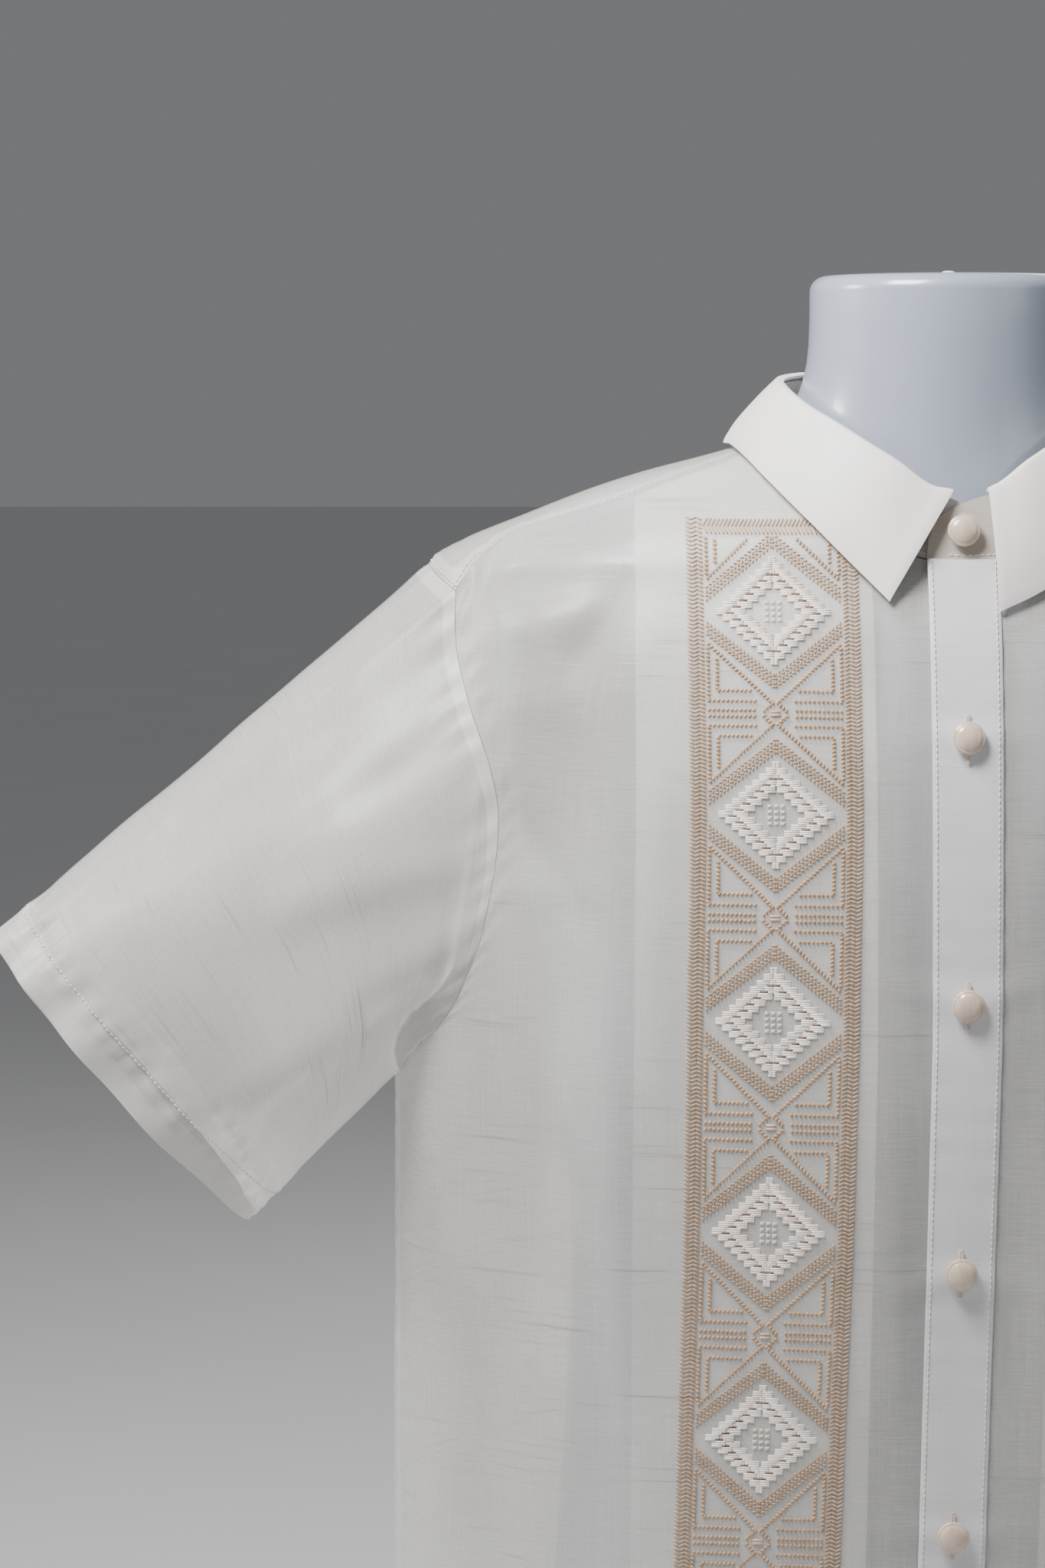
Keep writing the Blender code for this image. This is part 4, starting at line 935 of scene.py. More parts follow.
facing_left = facing_wall("facing_left_cloth", left_outer, left_away, left_front)
facing_right = facing_wall("facing_right_cloth", right_outer, right_away, right_front)


def across_at(grid, shares):
    """Columns of a grid at shares of its width."""
    columns = np.array(shares) * (grid.shape[1] - 1)
    low = np.minimum(columns.astype(int), grid.shape[1] - 2)
    part = (columns - low)[None, :, None]
    return grid[:, low] * (1 - part) + grid[:, low + 1] * part


BAND_SHARES = (0, 0.012, 0.04, 0.10, 0.22, 0.36, 0.5, 0.64, 0.78, 0.90, 0.96, 0.988, 1)
BAND_THICK = 0.0010
BAND_ROUND = (0.0006, 0.0003, 0.0001, 0, 0, 0, 0, 0, 0, 0, 0.0001, 0.0003, 0.0006)
band_away = across_at(left_away[:, :BAND_COUNT + 1], BAND_SHARES)
band_base = across_at(left_outer[:, :BAND_COUNT + 1], BAND_SHARES)
band_puff = 0.00035 * ripple(band_base[:, :1, 2], 0.019, 0.4) * np.abs(np.array(BAND_SHARES) - 0.5)
band_outer = band_base + band_away * (SEAM + BAND_THICK - np.array(BAND_ROUND) + band_puff)[..., None]
band = cloth_wall("front_band_cloth", band_outer, band_away, BAND_THICK - np.array(BAND_ROUND), BANDED,
                  np.stack([band_base[..., 0], band_base[..., 2]], axis=-1))

# %% [markdown]
# A sleeve is a tube from the armhole to a flat oval cuff, with its hem turned up and stitched. Its
# folds start at the underarm and fade towards the hem, and the stitched hem waves a little.

# %% The sleeves
SLEEVE_TOP = (0.4280, 0.5905)
SLEEVE_LOW = (0.3115, 0.4605)
CUFF_HALF_DEPTH = 0.0490
CUFF_FORWARD = -0.0050
SLEEVE_LENGTH = 0.255
SLEEVE_SWELL = 0.016
SLEEVE_ROWS = 80
SLEEVE_FOLDS = table("round0 along0 round1 along1 width depth fade", [
    (0.62, 0.05, 0.48, 0.55, 0.13, -0.0060, 0.12),
    (0.82, 0.03, 0.80, 0.45, 0.12, -0.0040, 0.12),
    (0.38, 0.35, 0.30, 0.85, 0.14, 0.0040, 0.12),
    (1.25, 0.05, 1.42, 0.60, 0.14, -0.0060, 0.12),
    (1.62, 0.20, 1.55, 0.85, 0.15, 0.0040, 0.12),
])
LEFT_CREASES = table("round0 along0 round1 along1 width depth fade", [
    (0.72, 0.02, 0.60, 0.40, 0.040, 0.0018, 0.07),
    (0.52, 0.06, 0.40, 0.50, 0.045, -0.0016, 0.08),
    (0.30, 0.02, 0.26, 0.30, 0.035, 0.0010, 0.06),
    (0.90, 0.10, 0.95, 0.60, 0.050, 0.0016, 0.08),
    (0.45, 0.60, 0.52, 0.95, 0.050, -0.0014, 0.08),
    (0.15, 0.45, 0.12, 0.90, 0.045, 0.0012, 0.08),
    (1.15, 0.04, 1.28, 0.45, 0.045, 0.0018, 0.07),
    (1.40, 0.08, 1.52, 0.50, 0.045, -0.0016, 0.08),
    (1.75, 0.10, 1.70, 0.60, 0.045, -0.0012, 0.08),
])
RIGHT_CREASES = table("round0 along0 round1 along1 width depth fade", [
    (0.76, 0.02, 0.66, 0.36, 0.040, -0.0018, 0.07),
    (0.56, 0.04, 0.43, 0.46, 0.040, 0.0017, 0.08),
    (0.36, 0.02, 0.34, 0.34, 0.035, -0.0011, 0.06),
    (0.24, 0.30, 0.20, 0.80, 0.050, -0.0014, 0.08),
    (0.66, 0.45, 0.62, 0.92, 0.050, 0.0015, 0.08),
    (0.92, 0.14, 0.97, 0.64, 0.050, -0.0016, 0.08),
    (1.18, 0.05, 1.30, 0.48, 0.045, -0.0017, 0.07),
    (1.45, 0.06, 1.50, 0.44, 0.040, 0.0016, 0.08),
    (1.80, 0.20, 1.76, 0.75, 0.045, 0.0013, 0.08),
])


def sleeve_rings():
    """Points of the left sleeve from the armhole to the cuff, with their place along and round."""
    over = seams["armhole_over"]
    half = OVER_COUNT // 2
    ring = np.vstack([over[:half + 1][::-1], seams["armhole_front"][1:],
                      seams["armhole_back"][::-1][1:], over[half:][::-1][1:-1]])
    after = np.roll(ring, -1, axis=0)
    into_hole = unit(np.cross(unit(after - np.roll(ring, 1, axis=0)), outward(ring)))
    side = np.sign(((ring.mean(axis=0) - ring) * into_hole).sum(axis=-1, keepdims=True))
    start = ring + into_hole * side * SEAM / 2
    underarm = int(np.argmin(ring[:, 2]))
    steps = np.linalg.norm(after - ring, axis=1)
    front_walk = np.cumsum(np.concatenate([[0], steps[:underarm]]))
    back_walk = np.cumsum(np.concatenate([[0], steps[underarm:]]))
    share = np.concatenate([front_walk / front_walk[-1], 1 + (back_walk / back_walk[-1])[1:-1]])
    angle = np.pi * share
    top = np.array([SLEEVE_TOP[0], CUFF_FORWARD, SLEEVE_TOP[1]])
    low = np.array([SLEEVE_LOW[0], CUFF_FORWARD, SLEEVE_LOW[1]])
    centre = 0.5 * (top + low)
    forward = np.array([0.0, -CUFF_HALF_DEPTH, 0.0])
    cuff = centre + np.cos(angle)[:, None] * (top - centre) + np.sin(angle)[:, None] * forward
    along = np.linspace(0, 1, SLEEVE_ROWS + 1)
    t = along[:, None, None]
    swell = SLEEVE_SWELL * np.sin(np.pi * np.minimum(1.0, t * 1.05)) ** 1.2
    rings = (1 - t) * start + t * cuff + np.sin(angle)[None, :, None] * np.array([0, -1.0, 0]) * swell
    return rings, along, share


def sleeve_lift(share, along, rows):
    """How far the lines of a table lift the sleeve's cloth."""
    lift = np.zeros((len(along), len(share)))
    t = along[:, None]
    columns = zip(*(rows[name] for name in ("round0", "along0", "round1", "along1", "width", "depth",
                                            "fade")))
    for round0, along0, round1, along1, width, depth, fade in columns:
        centre = round0 + (round1 - round0) * np.clip((t - along0) / (along1 - along0), 0, 1)
        beyond = np.maximum(np.maximum(along0 - t, t - along1), 0)
        gap = np.abs((share[None, :] - centre + 1) % 2 - 1)
        lift += depth * np.exp(-(beyond / fade) ** 2) * ease(t, 0.0, 0.12) * np.exp(-(gap / width) ** 2)
    return lift


def build_sleeve(name, side, creases, seed):
    """A sleeve with its folds, creases, turned hem and puckers."""
    rings, along, share = sleeve_rings()
    seam = rings[0] * np.array([side, 1.0, 1.0])
    shift = outward(seam) * body_lift(seam)[:, None] * np.array([side, 1.0, 1.0])
    rings = rings + shift[None] * (1 - ease(along, 0.0, 0.25))[:, None, None]
    middle = rings.mean(axis=1, keepdims=True)
    normal, _ = grid_normals(rings, rings - middle, ring=True)
    lift = sleeve_lift(share, along, SLEEVE_FOLDS) + sleeve_lift(share, along, creases)
    run = along[:, None] * SLEEVE_LENGTH
    from_hem = SLEEVE_LENGTH - run
    walk = np.concatenate([[0], np.cumsum(np.linalg.norm(np.diff(rings[0], axis=0), axis=1))])[None]
    turned_edge = np.minimum(np.broadcast_to(run, lift.shape) - TURNED, from_hem - HEM_DEPTH)
    near = np.exp(-(run / 0.014) ** 2) * ease(run, 0.0, 0.005)
    lift += PUCKER * 1.5 * near * ripple(walk, 0.015, seed)
    lift += PUCKER * 1.7 * np.exp(-((from_hem - HEM_DEPTH) / 0.007) ** 2) * ripple(walk, 0.013, seed + 2)
    lift += 0.0017 * ease(0.05 - from_hem, 0, 0.05) * ripple(walk, 0.058, seed + 1)
    lift += 0.0004 * ease(HEM_DEPTH - from_hem, -0.0015, 0.0015)
    lift += 0.0008 * ease(along[:, None], 0, 0.2) * noise_at(rings, seed, (28, 28, 28))
    outer = rings + normal * lift[..., None]
    if side < 0:
        outer, middle = mirrored(outer), mirrored(middle)
    closed = np.concatenate([rings, rings[:, :1]], axis=1)
    gaps = edge_gaps(closed)
    uv = np.stack([gaps["left"], np.broadcast_to(run, gaps["left"].shape)], axis=-1)
    piece = cloth_wall(name, outer, outer - middle, CLOTH, SHEER, uv, turned_edge, ring=True)
    return piece, outer, grid_normals(outer, outer - middle, ring=True)[0]


sleeve_left, sleeve_left_outer, sleeve_left_away = build_sleeve("sleeve_left_cloth", 1, LEFT_CREASES, 0.7)
sleeve_right, sleeve_right_outer, sleeve_right_away = build_sleeve("sleeve_right_cloth", -1,
                                                                  RIGHT_CREASES, 3.1)
print("sleeve grid", sleeve_left_outer.shape[:2])

# %% [markdown]
# The collar is two pieces: a stand that rises from the neckline, and a leaf that folds over its top
# and comes down to two points. Both are faced and firm, so they hold a smooth curve. The leaf's
# section is drawn through a few rows and made smooth between them, so its fold is round, not sharp.

# %% The collar
COLLAR_FOLD = table("turn height", [
    (0, 0.8445), (45, 0.8428), (90, 0.8388), (130, 0.8231), (157, 0.8050), (172, 0.7925), (180, 0.7915),
])
LEAF_EDGE_LEFT = table("turn across height", [
    (97, 0.0957, 0.8085), (125, 0.0680, 0.7790), (150, 0.0340, 0.7490), (172, 0.0145, 0.7398),
])
LEAF_EDGE_RIGHT = table("turn across height", [
    (97, 0.0957, 0.8085), (125, 0.0680, 0.7800), (150, 0.0480, 0.7600), (176.3, 0.0322, 0.7440),
])
LEAF_BACK_HEIGHT = 0.8090
LEAF_RAISE = 0.0033
LEAF_WALL = 0.0014
STAND_WALL = 0.0015
STAND_INSET = 0.0033
STAND_DROP = 0.0028
FOLD_HALF_WIDTH = 0.0780
FOLD_HALF_DEPTH = 0.0745
FOLD_CENTRE = -0.0025
COLLAR_BUTTON_HEIGHT = 0.7740


def fold_point(turn, inset=0.0, drop=0.0):
    """Point of the collar's fold line, or one set in from it and below it."""
    turn = np.asarray(turn, float)
    size = np.abs(turn)
    size = np.where(size > 180, 360 - size, size)
    angle = np.radians(turn)
    x = (FOLD_HALF_WIDTH - inset) * np.sin(angle)
    y = FOLD_CENTRE + (FOLD_HALF_DEPTH - inset) * np.cos(angle)
    return np.stack([x, y, between(COLLAR_FOLD, "turn", "height", size) - drop], axis=-1)


def outward_turns(turns):
    """Level directions away from the neck."""
    return np.stack([np.sin(np.radians(turns)), np.cos(np.radians(turns)), 0 * turns], axis=-1)


def smooth_rows(rows, count):
    """Rows drawn smoothly through a few given ones."""
    ends = np.concatenate([2 * rows[:1] - rows[1:2], rows, 2 * rows[-1:] - rows[-2:-1]])
    made = []
    for i in range(1, len(ends) - 2):
        for t in np.linspace(0, 1, count, endpoint=False):
            made.append(curved(*ends[i - 1:i + 3], t))
    return np.array(made + [rows[-1]])


def build_stand():
    """The collar stand, whose wearer's-left end laps over its right one and is rounded."""
    lap_start = closure_turn(BAND_EDGE)
    lap_end = closure_turn(-BAND_EDGE)
    half = np.concatenate([np.linspace(0, lap_start, 90), np.linspace(lap_start, lap_end, 15)[1:]])
    turns = np.concatenate([-half[::-1], half[1:]])
    low = neck_point(turns) + np.array([0.0, 0.0, SEAM])
    high = fold_point(turns, inset=STAND_INSET, drop=STAND_DROP)
    past = np.clip((np.abs(turns) - lap_start) / (lap_end - lap_start), 0, 1)
    high = low + (high - low) * (0.28 + 0.72 * np.sqrt(1 - past ** 2))[:, None]
    out = outward_turns(turns)
    sink = ease(-turns, 148, lap_start) * (STAND_WALL + SEAM)
    soft = np.linspace(0, 1, 13)
    rows = np.array([low + (high - low) * t - out * sink[:, None] for t in soft])
    rows = rows + out * 0.0003 * noise_at(rows, 5.0, (45, 45, 60))[..., None]
    gaps = edge_gaps(rows)
    uv = np.stack([gaps["left"], gaps["bottom"]], axis=-1)
    away = np.broadcast_to(out, rows.shape)
    return cloth_wall("collar_stand_cloth", rows, away, STAND_WALL, STAND_TAN_AND_SHADE, uv), rows, away


def leaf_edge(turns):
    """Points of the leaf's free edge, just off the shirt."""
    points = []
    for turn in turns:
        rows = LEAF_EDGE_LEFT if turn > 0 else LEAF_EDGE_RIGHT
        size = abs(turn)
        start = rows["turn"][0]
        if size >= start:
            across = between(rows, "turn", "across", size)
            point = seen(math.copysign(1, turn) * across, between(rows, "turn", "height", size), -1)
        else:
            height = LEAF_BACK_HEIGHT + (rows["height"][0] - LEAF_BACK_HEIGHT) * (size / start) ** 2
            first = seen(rows["across"][0], rows["height"][0], -1)
            centre = between(SKIN, "height", "centre", height)
            first_angle = math.degrees(math.atan2(first[1] - centre, first[0]))
            point = round_skin(90 + (first_angle - 90) * size / start, height)
            point = mirrored(point) if turn < 0 else point
        points.append(point)
    points = np.array(points)
    away = outward(points)
    away[..., 2] *= 0.5
    return points + unit(away) * LEAF_RAISE


LEAF_LEFT_TURN = 172.0
LEAF_RIGHT_TURN = 176.3


def build_leaf():
    """The collar leaf, folded over the stand's top and down to its points."""
    turns = np.concatenate([np.linspace(LEAF_LEFT_TURN, 97, 46), np.linspace(97, -97, 91)[1:-1],
                            np.linspace(-97, -LEAF_RIGHT_TURN, 48)])
    edge = leaf_edge(turns)
    out = outward_turns(turns)
    fold = fold_point(turns, drop=0.0016)
    rows = [fold_point(turns, inset=0.0048, drop=0.0008), fold_point(turns, inset=0.0024, drop=-0.0002),
            fold]
    for t, bulge in ((0.30, 0.0016), (0.65, 0.0020), (1.0, 0.0)):
        rows.append(fold + (edge - fold) * t + out * bulge)
    rows = smooth_rows(np.array(rows), 6)
    away = np.broadcast_to(out, rows.shape) + np.array([0.0, 0.0, 0.3])
    normal, _ = grid_normals(rows, away)
    gaps = edge_gaps(rows)
    rim = np.minimum(np.minimum(gaps["left"], gaps["right"]), gaps["top"])
    lift = 0.0004 * noise_at(rows, 8.0, (30, 30, 30)) * ease(gaps["bottom"], 0, 0.02)
    lift += 0.0004 * ease(rim, 0.0, 0.0022)
    rows = rows + normal * lift[..., None]
    uv = np.stack([gaps["left"], gaps["bottom"]], axis=-1)
    return cloth_wall("collar_leaf_cloth", rows, away, LEAF_WALL, FACED, uv)


stand, stand_outer, stand_away = build_stand()
leaf = build_leaf()

# %% [markdown]
# The torso form is one glossy moulding: an oval body that comes up close under the cloth on the
# shoulders, and a neck with a flat top and a soft rim. It is built from rings of points, like a pot
# on a wheel, because its section changes all the way up.

# %% The torso form
FORM_GAP = table("height side front back reach", [
    (0.045, 0.0600, 0.0100, 0.0090, 0.110),
    (0.150, 0.0580, 0.0120, 0.0080, 0.110),
    (0.300, 0.0720, 0.0200, 0.0200, 0.110),
    (0.450, 0.0800, 0.0200, 0.0280, 0.100),
    (0.560, 0.0660, 0.0120, 0.0120, 0.090),
    (0.650, 0.0470, 0.0060, 0.0090, 0.075),
    (0.700, 0.0390, 0.0055, 0.0080, 0.065),
    (0.740, 0.0330, 0.0055, 0.0060, 0.055),
    (0.757, 0.0300, 0.0065, 0.0040, 0.045),
    (0.769, 0.0140, 0.0080, 0.0030, 0.030),
    (0.777, 0.0030, 0.0085, 0.0020, 0.022),
    (0.785, 0.0009, 0.0085, 0.0014, 0.018),
    (0.820, 0.0009, 0.0085, 0.0014, 0.018),
])
FORM_LEVELS = (0.0, 0.045, 0.15, 0.25, 0.35, 0.45, 0.53, 0.60, 0.65, 0.70, 0.735, 0.757, 0.767,
               0.775, 0.783, 0.792, 0.802, 0.811)
FORM_TILT_START = 0.600
FORM_SIDES = 120
NECK_TOP = 0.8850
NECK_HALF_WIDTH = 0.0615
NECK_ROUNDING = 0.0070


def ring_solid(name, rings, finish):
    """A closed body made of rings of points, from its lowest ring to its highest."""
    rings = np.array(rings)
    levels, sides = rings.shape[:2]
    index = np.arange(levels * sides).reshape(levels, sides)
    after = np.roll(index, -1, axis=1)
    quads = np.stack([index[:-1], after[:-1], after[1:], index[1:]], axis=-1).reshape(-1, 4).tolist()
    faces = quads + [index[0][::-1].tolist(), index[-1].tolist()]
    mesh = bpy.data.meshes.new(name)
    mesh.from_pydata(rings.reshape(-1, 3).tolist(), [], faces)
    mesh.materials.append(finish)
    mesh.shade_smooth()
    mesh.set_sharp_from_angle(angle=math.radians(45))
    return placed(name, mesh)


def form_ring(angles, heights):
    """Points round the form: an oval inside the body, and close under the cloth on the shoulders."""
    turn = np.radians(angles)
    near = np.cos(turn)
    far = np.sin(turn)
    gap = {name: between(FORM_GAP, "height", name, heights) for name in ("side", "front", "back", "reach")}
    width = between(SKIN, "height", "half_width", heights) - gap["side"] - WALL
    front = between(SKIN, "height", "front", heights) - gap["front"]
    back_depth = between(SKIN, "height", "back", heights) - gap["back"]
    depth = np.where(far < 0, front, back_depth) - WALL
    power = between(SKIN, "height", "squareness", heights)
    radius = ((np.abs(near) / width) ** power + (np.abs(far) / depth) ** power) ** (-1 / power)
    centre = between(SKIN, "height", "centre", heights)
    oval = np.stack([radius * near, centre + radius * far, heights], axis=-1)
    cover = onto_skin(round_skin(angles, heights))
    y = cover[..., 1] - between(SKIN, "height", "centre", cover[..., 2])
    sideways = np.exp(-(y / between(FORM_GAP, "height", "reach", cover[..., 2])) ** 2)
    beside = {name: between(FORM_GAP, "height", name, cover[..., 2]) for name in ("side", "front", "back")}
    room = sideways * beside["side"] + (1 - sideways) * np.where(y < 0, beside["front"], beside["back"])
    close = cover - outward(cover) * (WALL + room)[:, None]
    mix = ease(heights, 0.735, 0.777)[:, None]
    return oval * (1 - mix) + close * mix


def build_form():
    """The form's rings from the flat foot to the rim of its neck."""
    turns = np.arange(FORM_SIDES) * 360 / FORM_SIDES
    neck = neck_point(np.where(turns > 180, turns - 360, turns))
    places = np.arange(len(FORM_LEVELS))
    levels = np.interp(np.linspace(0, places[-1], 3 * places[-1] + 1), places, FORM_LEVELS)
    rings = []
    for level in levels:
        share = max(0.0, (level - FORM_TILT_START) / (FORM_LEVELS[-1] - FORM_TILT_START))
        tilted = FORM_TILT_START + share * (neck[:, 2] - FORM_TILT_START)
        heights = np.full(FORM_SIDES, level) if share == 0 else tilted
        rings.append(form_ring(90 - turns, heights))
    base = rings[-1]
    out = np.stack([np.sin(np.radians(turns)), np.cos(np.radians(turns))], axis=-1)
    plain_top = NECK_TOP - NECK_ROUNDING
    for t in (0.03, 0.06, 0.10, 0.14, 0.20, 0.26, 0.34, 0.42, 0.53, 0.65, 0.82, 1.0):
        plan = base[:, :2] + (out * NECK_HALF_WIDTH - base[:, :2]) * (1 - (1 - t) ** 4)
        rings.append(np.column_stack([plan, base[:, 2] + (plain_top - base[:, 2]) * t]))
    for bend in np.radians(np.arange(10, 91, 10)):
        radius = NECK_HALF_WIDTH - NECK_ROUNDING * (1 - math.cos(bend))
        height = plain_top + NECK_ROUNDING * math.sin(bend)
        rings.append(np.column_stack([out * radius, np.full(FORM_SIDES, height)]))
    for radius in (0.050, 0.045):
        rings.append(np.column_stack([out * radius, np.full(FORM_SIDES, NECK_TOP)]))
    return ring_solid("form_torso_shell", rings, FORM)


form = build_form()


def lathe(name, profile, place, finish, sides=36):
    """A round body turned about an axis, from a profile of radii and heights."""
    angles = np.linspace(0, 2 * np.pi, sides, endpoint=False)
    rings = []
    for radius, height in profile:
        ring = np.stack([radius * np.cos(angles), radius * np.sin(angles), 0 * angles + height], axis=-1)
        rings.append([place @ Vector(point) for point in ring])
    return ring_solid(name, rings, finish)


PIN_PROFILE = ((0.0030, 0.0), (0.0031, 0.0004), (0.0031, 0.0012), (0.0028, 0.0016), (0.0022, 0.0019),
               (0.0014, 0.0021), (0.0006, 0.00215))
pin = lathe("form_pin_stud", PIN_PROFILE, Matrix.Translation((0, 0, NECK_TOP + SEAM)), PIN, 24)

# %% [markdown]
# The buttons are shank buttons: a domed cap on a short stem, so no thread shows on top. A lathe
# profile gives the cap a thin rim and a shallow ring round the dome. One profile serves all seven,
# and each is set square to the cloth that it closes.

# %% The buttons
BUTTON_PROFILE = (
    (0.0021, 0.0), (0.0021, 0.0013), (0.0040, 0.0015), (0.0056, 0.0018), (0.0066, 0.0024),
    (0.0070, 0.0030), (0.00703, 0.0035), (0.0069, 0.0040), (0.0066, 0.0043), (0.0062, 0.00435),
    (0.0060, 0.0044), (0.0055, 0.0050), (0.0046, 0.0055), (0.0035, 0.0059), (0.0022, 0.0062),
    (0.0010, 0.00635), (0.0003, 0.0064))


def set_square(point, axis):
    """A place at a point, with its own Z along an axis."""
    turn = Vector((0, 0, 1)).rotation_difference(Vector(axis)).to_matrix().to_4x4()
    return Matrix.Translation(Vector(point)) @ turn


buttons = []
for number, height in enumerate(BUTTON_HEIGHTS, start=1):
    point = drifted(seen(0.0, height, -1))
    axis = outward(point)
    base = point + axis * (SEAM + BAND_THICK + SEAM)
    buttons.append((lathe(f"button_{number}_cap", BUTTON_PROFILE, set_square(base, axis), SHELL),
                    f"button_{number}"))
stand_low = neck_point(180.0)
stand_high = fold_point(180.0, inset=STAND_INSET, drop=STAND_DROP)
share = (COLLAR_BUTTON_HEIGHT - stand_low[2]) / (stand_high[2] - stand_low[2])
point = stand_low + (stand_high - stand_low) * share
axis = unit(np.array([0.0, -(stand_high[2] - stand_low[2]), stand_high[1] - stand_low[1]]))
axis = axis if axis[1] < 0 else -axis
buttons.append((lathe("button_collar_cap", BUTTON_PROFILE, set_square(point + axis * SEAM * 1.5, axis),
                      SHELL), "button_collar"))

# %% [markdown]
# Thousands of stitches would be hopeless as single objects, so Geometry Nodes lay them. Each stitch
# is one point that knows which way and how far it runs, which way is up, and its tone. The tree puts
# a small pill of thread on every point, turned and stretched to fit, and joins them into one mesh.

# %% Laying stitches


TAPERED = 1.5
BLUNT = 1.9
RING_TO_FULL = 1.155


def stitch_tree():
    """The tree that turns points into stitches."""
    tree = bpy.data.node_groups.new("laid_stitches", "GeometryNodeTree")
    tree.interface.new_socket("Geometry", in_out="INPUT", socket_type="NodeSocketGeometry")
    for name in ("Thread width", "Thread height", "Blunt ends"):
        tree.interface.new_socket(name, in_out="INPUT", socket_type="NodeSocketFloat")
    tree.interface.new_socket("Finish", in_out="INPUT", socket_type="NodeSocketMaterial")
    tree.interface.new_socket("Geometry", in_out="OUTPUT", socket_type="NodeSocketGeometry")
    given = tree.nodes.new("NodeGroupInput").outputs
    run = add(tree, "GeometryNodeInputNamedAttribute", {"Name": "run"}, data_type="FLOAT_VECTOR")
    up = add(tree, "GeometryNodeInputNamedAttribute", {"Name": "up"}, data_type="FLOAT_VECTOR")
    girth = add(tree, "GeometryNodeInputNamedAttribute", {"Name": "girth"}, data_type="FLOAT")
    wide = summed(tree, "MULTIPLY", given["Thread width"], girth.outputs["Attribute"])
    length = add(tree, "ShaderNodeVectorMath", operation="LENGTH")
    tree.links.new(run.outputs["Attribute"], length.inputs[0])
    size = add(tree, "ShaderNodeCombineXYZ", {
        "X": summed(tree, "MULTIPLY", given["Thread height"], 0.5),
        "Y": summed(tree, "MULTIPLY", wide, 0.5),
        "Z": summed(tree, "MULTIPLY", length.outputs["Value"], 0.5)})
    turn = add(tree, "FunctionNodeAxesToRotation", {
        "Primary Axis": run.outputs["Attribute"], "Secondary Axis": up.outputs["Attribute"]},
        primary_axis="Z", secondary_axis="X")
    ball = add(tree, "GeometryNodeMeshUVSphere", {"Radius": 1.0, "Segments": 5, "Rings": 3})
    pull = add(tree, "ShaderNodeCombineXYZ", {"X": RING_TO_FULL, "Y": RING_TO_FULL,
                                               "Z": given["Blunt ends"]})
    place = add(tree, "GeometryNodeInputPosition").outputs["Position"]
    pulled = summed(tree, "MULTIPLY", place, pull.outputs["Vector"], "ShaderNodeVectorMath")
    topped = summed(tree, "MINIMUM", pulled, (1, 1, 1), "ShaderNodeVectorMath")
    capped = summed(tree, "MAXIMUM", topped, (-1, -1, -1), "ShaderNodeVectorMath")
    pill = add(tree, "GeometryNodeSetPosition", {"Geometry": ball.outputs["Mesh"], "Position": capped})
    laid = add(tree, "GeometryNodeInstanceOnPoints", {
        "Points": given["Geometry"], "Instance": pill.outputs["Geometry"],
        "Rotation": turn.outputs["Rotation"], "Scale": size.outputs["Vector"]})
    joined = add(tree, "GeometryNodeRealizeInstances", {"Geometry": laid.outputs["Instances"]})
    smooth = add(tree, "GeometryNodeSetShadeSmooth", {"Geometry": joined.outputs["Geometry"]})
    painted = add(tree, "GeometryNodeSetMaterial", {"Geometry": smooth.outputs["Geometry"],
                                                    "Material": given["Finish"]})
    result = tree.nodes.new("NodeGroupOutput")
    tree.links.new(painted.outputs["Geometry"], result.inputs["Geometry"])
    return tree


STITCH_TREE = stitch_tree()


def lay_stitches(name, starts, ends, ups, tones, width, height, blunt=TAPERED, girths=1.0):
    """One mesh of stitches between start and end points."""
    mesh = bpy.data.meshes.new(name)
    mesh.from_pydata((0.5 * (starts + ends)).tolist(), [], [])
    for label, values in (("run", ends - starts), ("up", ups)):
        attribute = mesh.attributes.new(label, "FLOAT_VECTOR", "POINT")
        attribute.data.foreach_set("vector", values.astype(np.float32).ravel())
    for label, values in (("tone", tones), ("girth", girths + 0 * starts[:, 0])):
        attribute = mesh.attributes.new(label, "FLOAT", "POINT")
        attribute.data.foreach_set("value", np.asarray(values, np.float32))
    holder = placed(name + "_points", mesh)
    modifier = holder.modifiers.new("stitches", "NODES")
    modifier.node_group = STITCH_TREE
    given = {"Thread width": width, "Thread height": height, "Blunt ends": blunt, "Finish": THREAD}
    for item in STITCH_TREE.interface.items_tree:
        if item.in_out == "INPUT" and item.name in given:
            modifier[item.identifier] = given[item.name]
    done = holder.evaluated_get(bpy.context.evaluated_depsgraph_get())
    plain = bpy.data.meshes.new_from_object(done)
    plain.name = name
    for label in ("run", "up", "girth"):
        plain.attributes.remove(plain.attributes[label])
    bpy.data.objects.remove(holder)
    print(name, len(starts), "stitches")
    return placed(name, plain)


# %% [markdown]
# The embroidery repeats every 90 mm: a diamond of pale satin blocks with a small lattice in it, held
# between two thick tan chevrons, then fine lines that cross between barred corners, all between two
# braided borders. The chart below was drawn from those parts, in millimetres, with each diamond's centre
# as its zero. A stitch's two ends are charted flat and then set on the cloth.

# %% The embroidery's chart
MILLIMETRES = 1000
REPEAT = 90.5
BAND_TOP = -40.0
BAND_FOOT = 694.0
BORDER_IN = 29.6
BORDER_OUT = 36.6
RUN_TABLE = table("run height", [
    (-40.0, 0.7795), (0.0, 0.7400), (90.5, 0.6550), (181.0, 0.5670), (271.5, 0.4762),
    (362.0, 0.3855), (452.5, 0.2950), (543.0, 0.2045), (633.5, 0.1140), (702.0, 0.0455),
])
CENTRE_TABLE = table("height across", [
    (0.045, 0.0885), (0.3855, 0.0840), (0.4762, 0.0826), (0.567, 0.0821), (0.656, 0.0809),
    (0.740, 0.0815), (0.780, 0.0818),
])
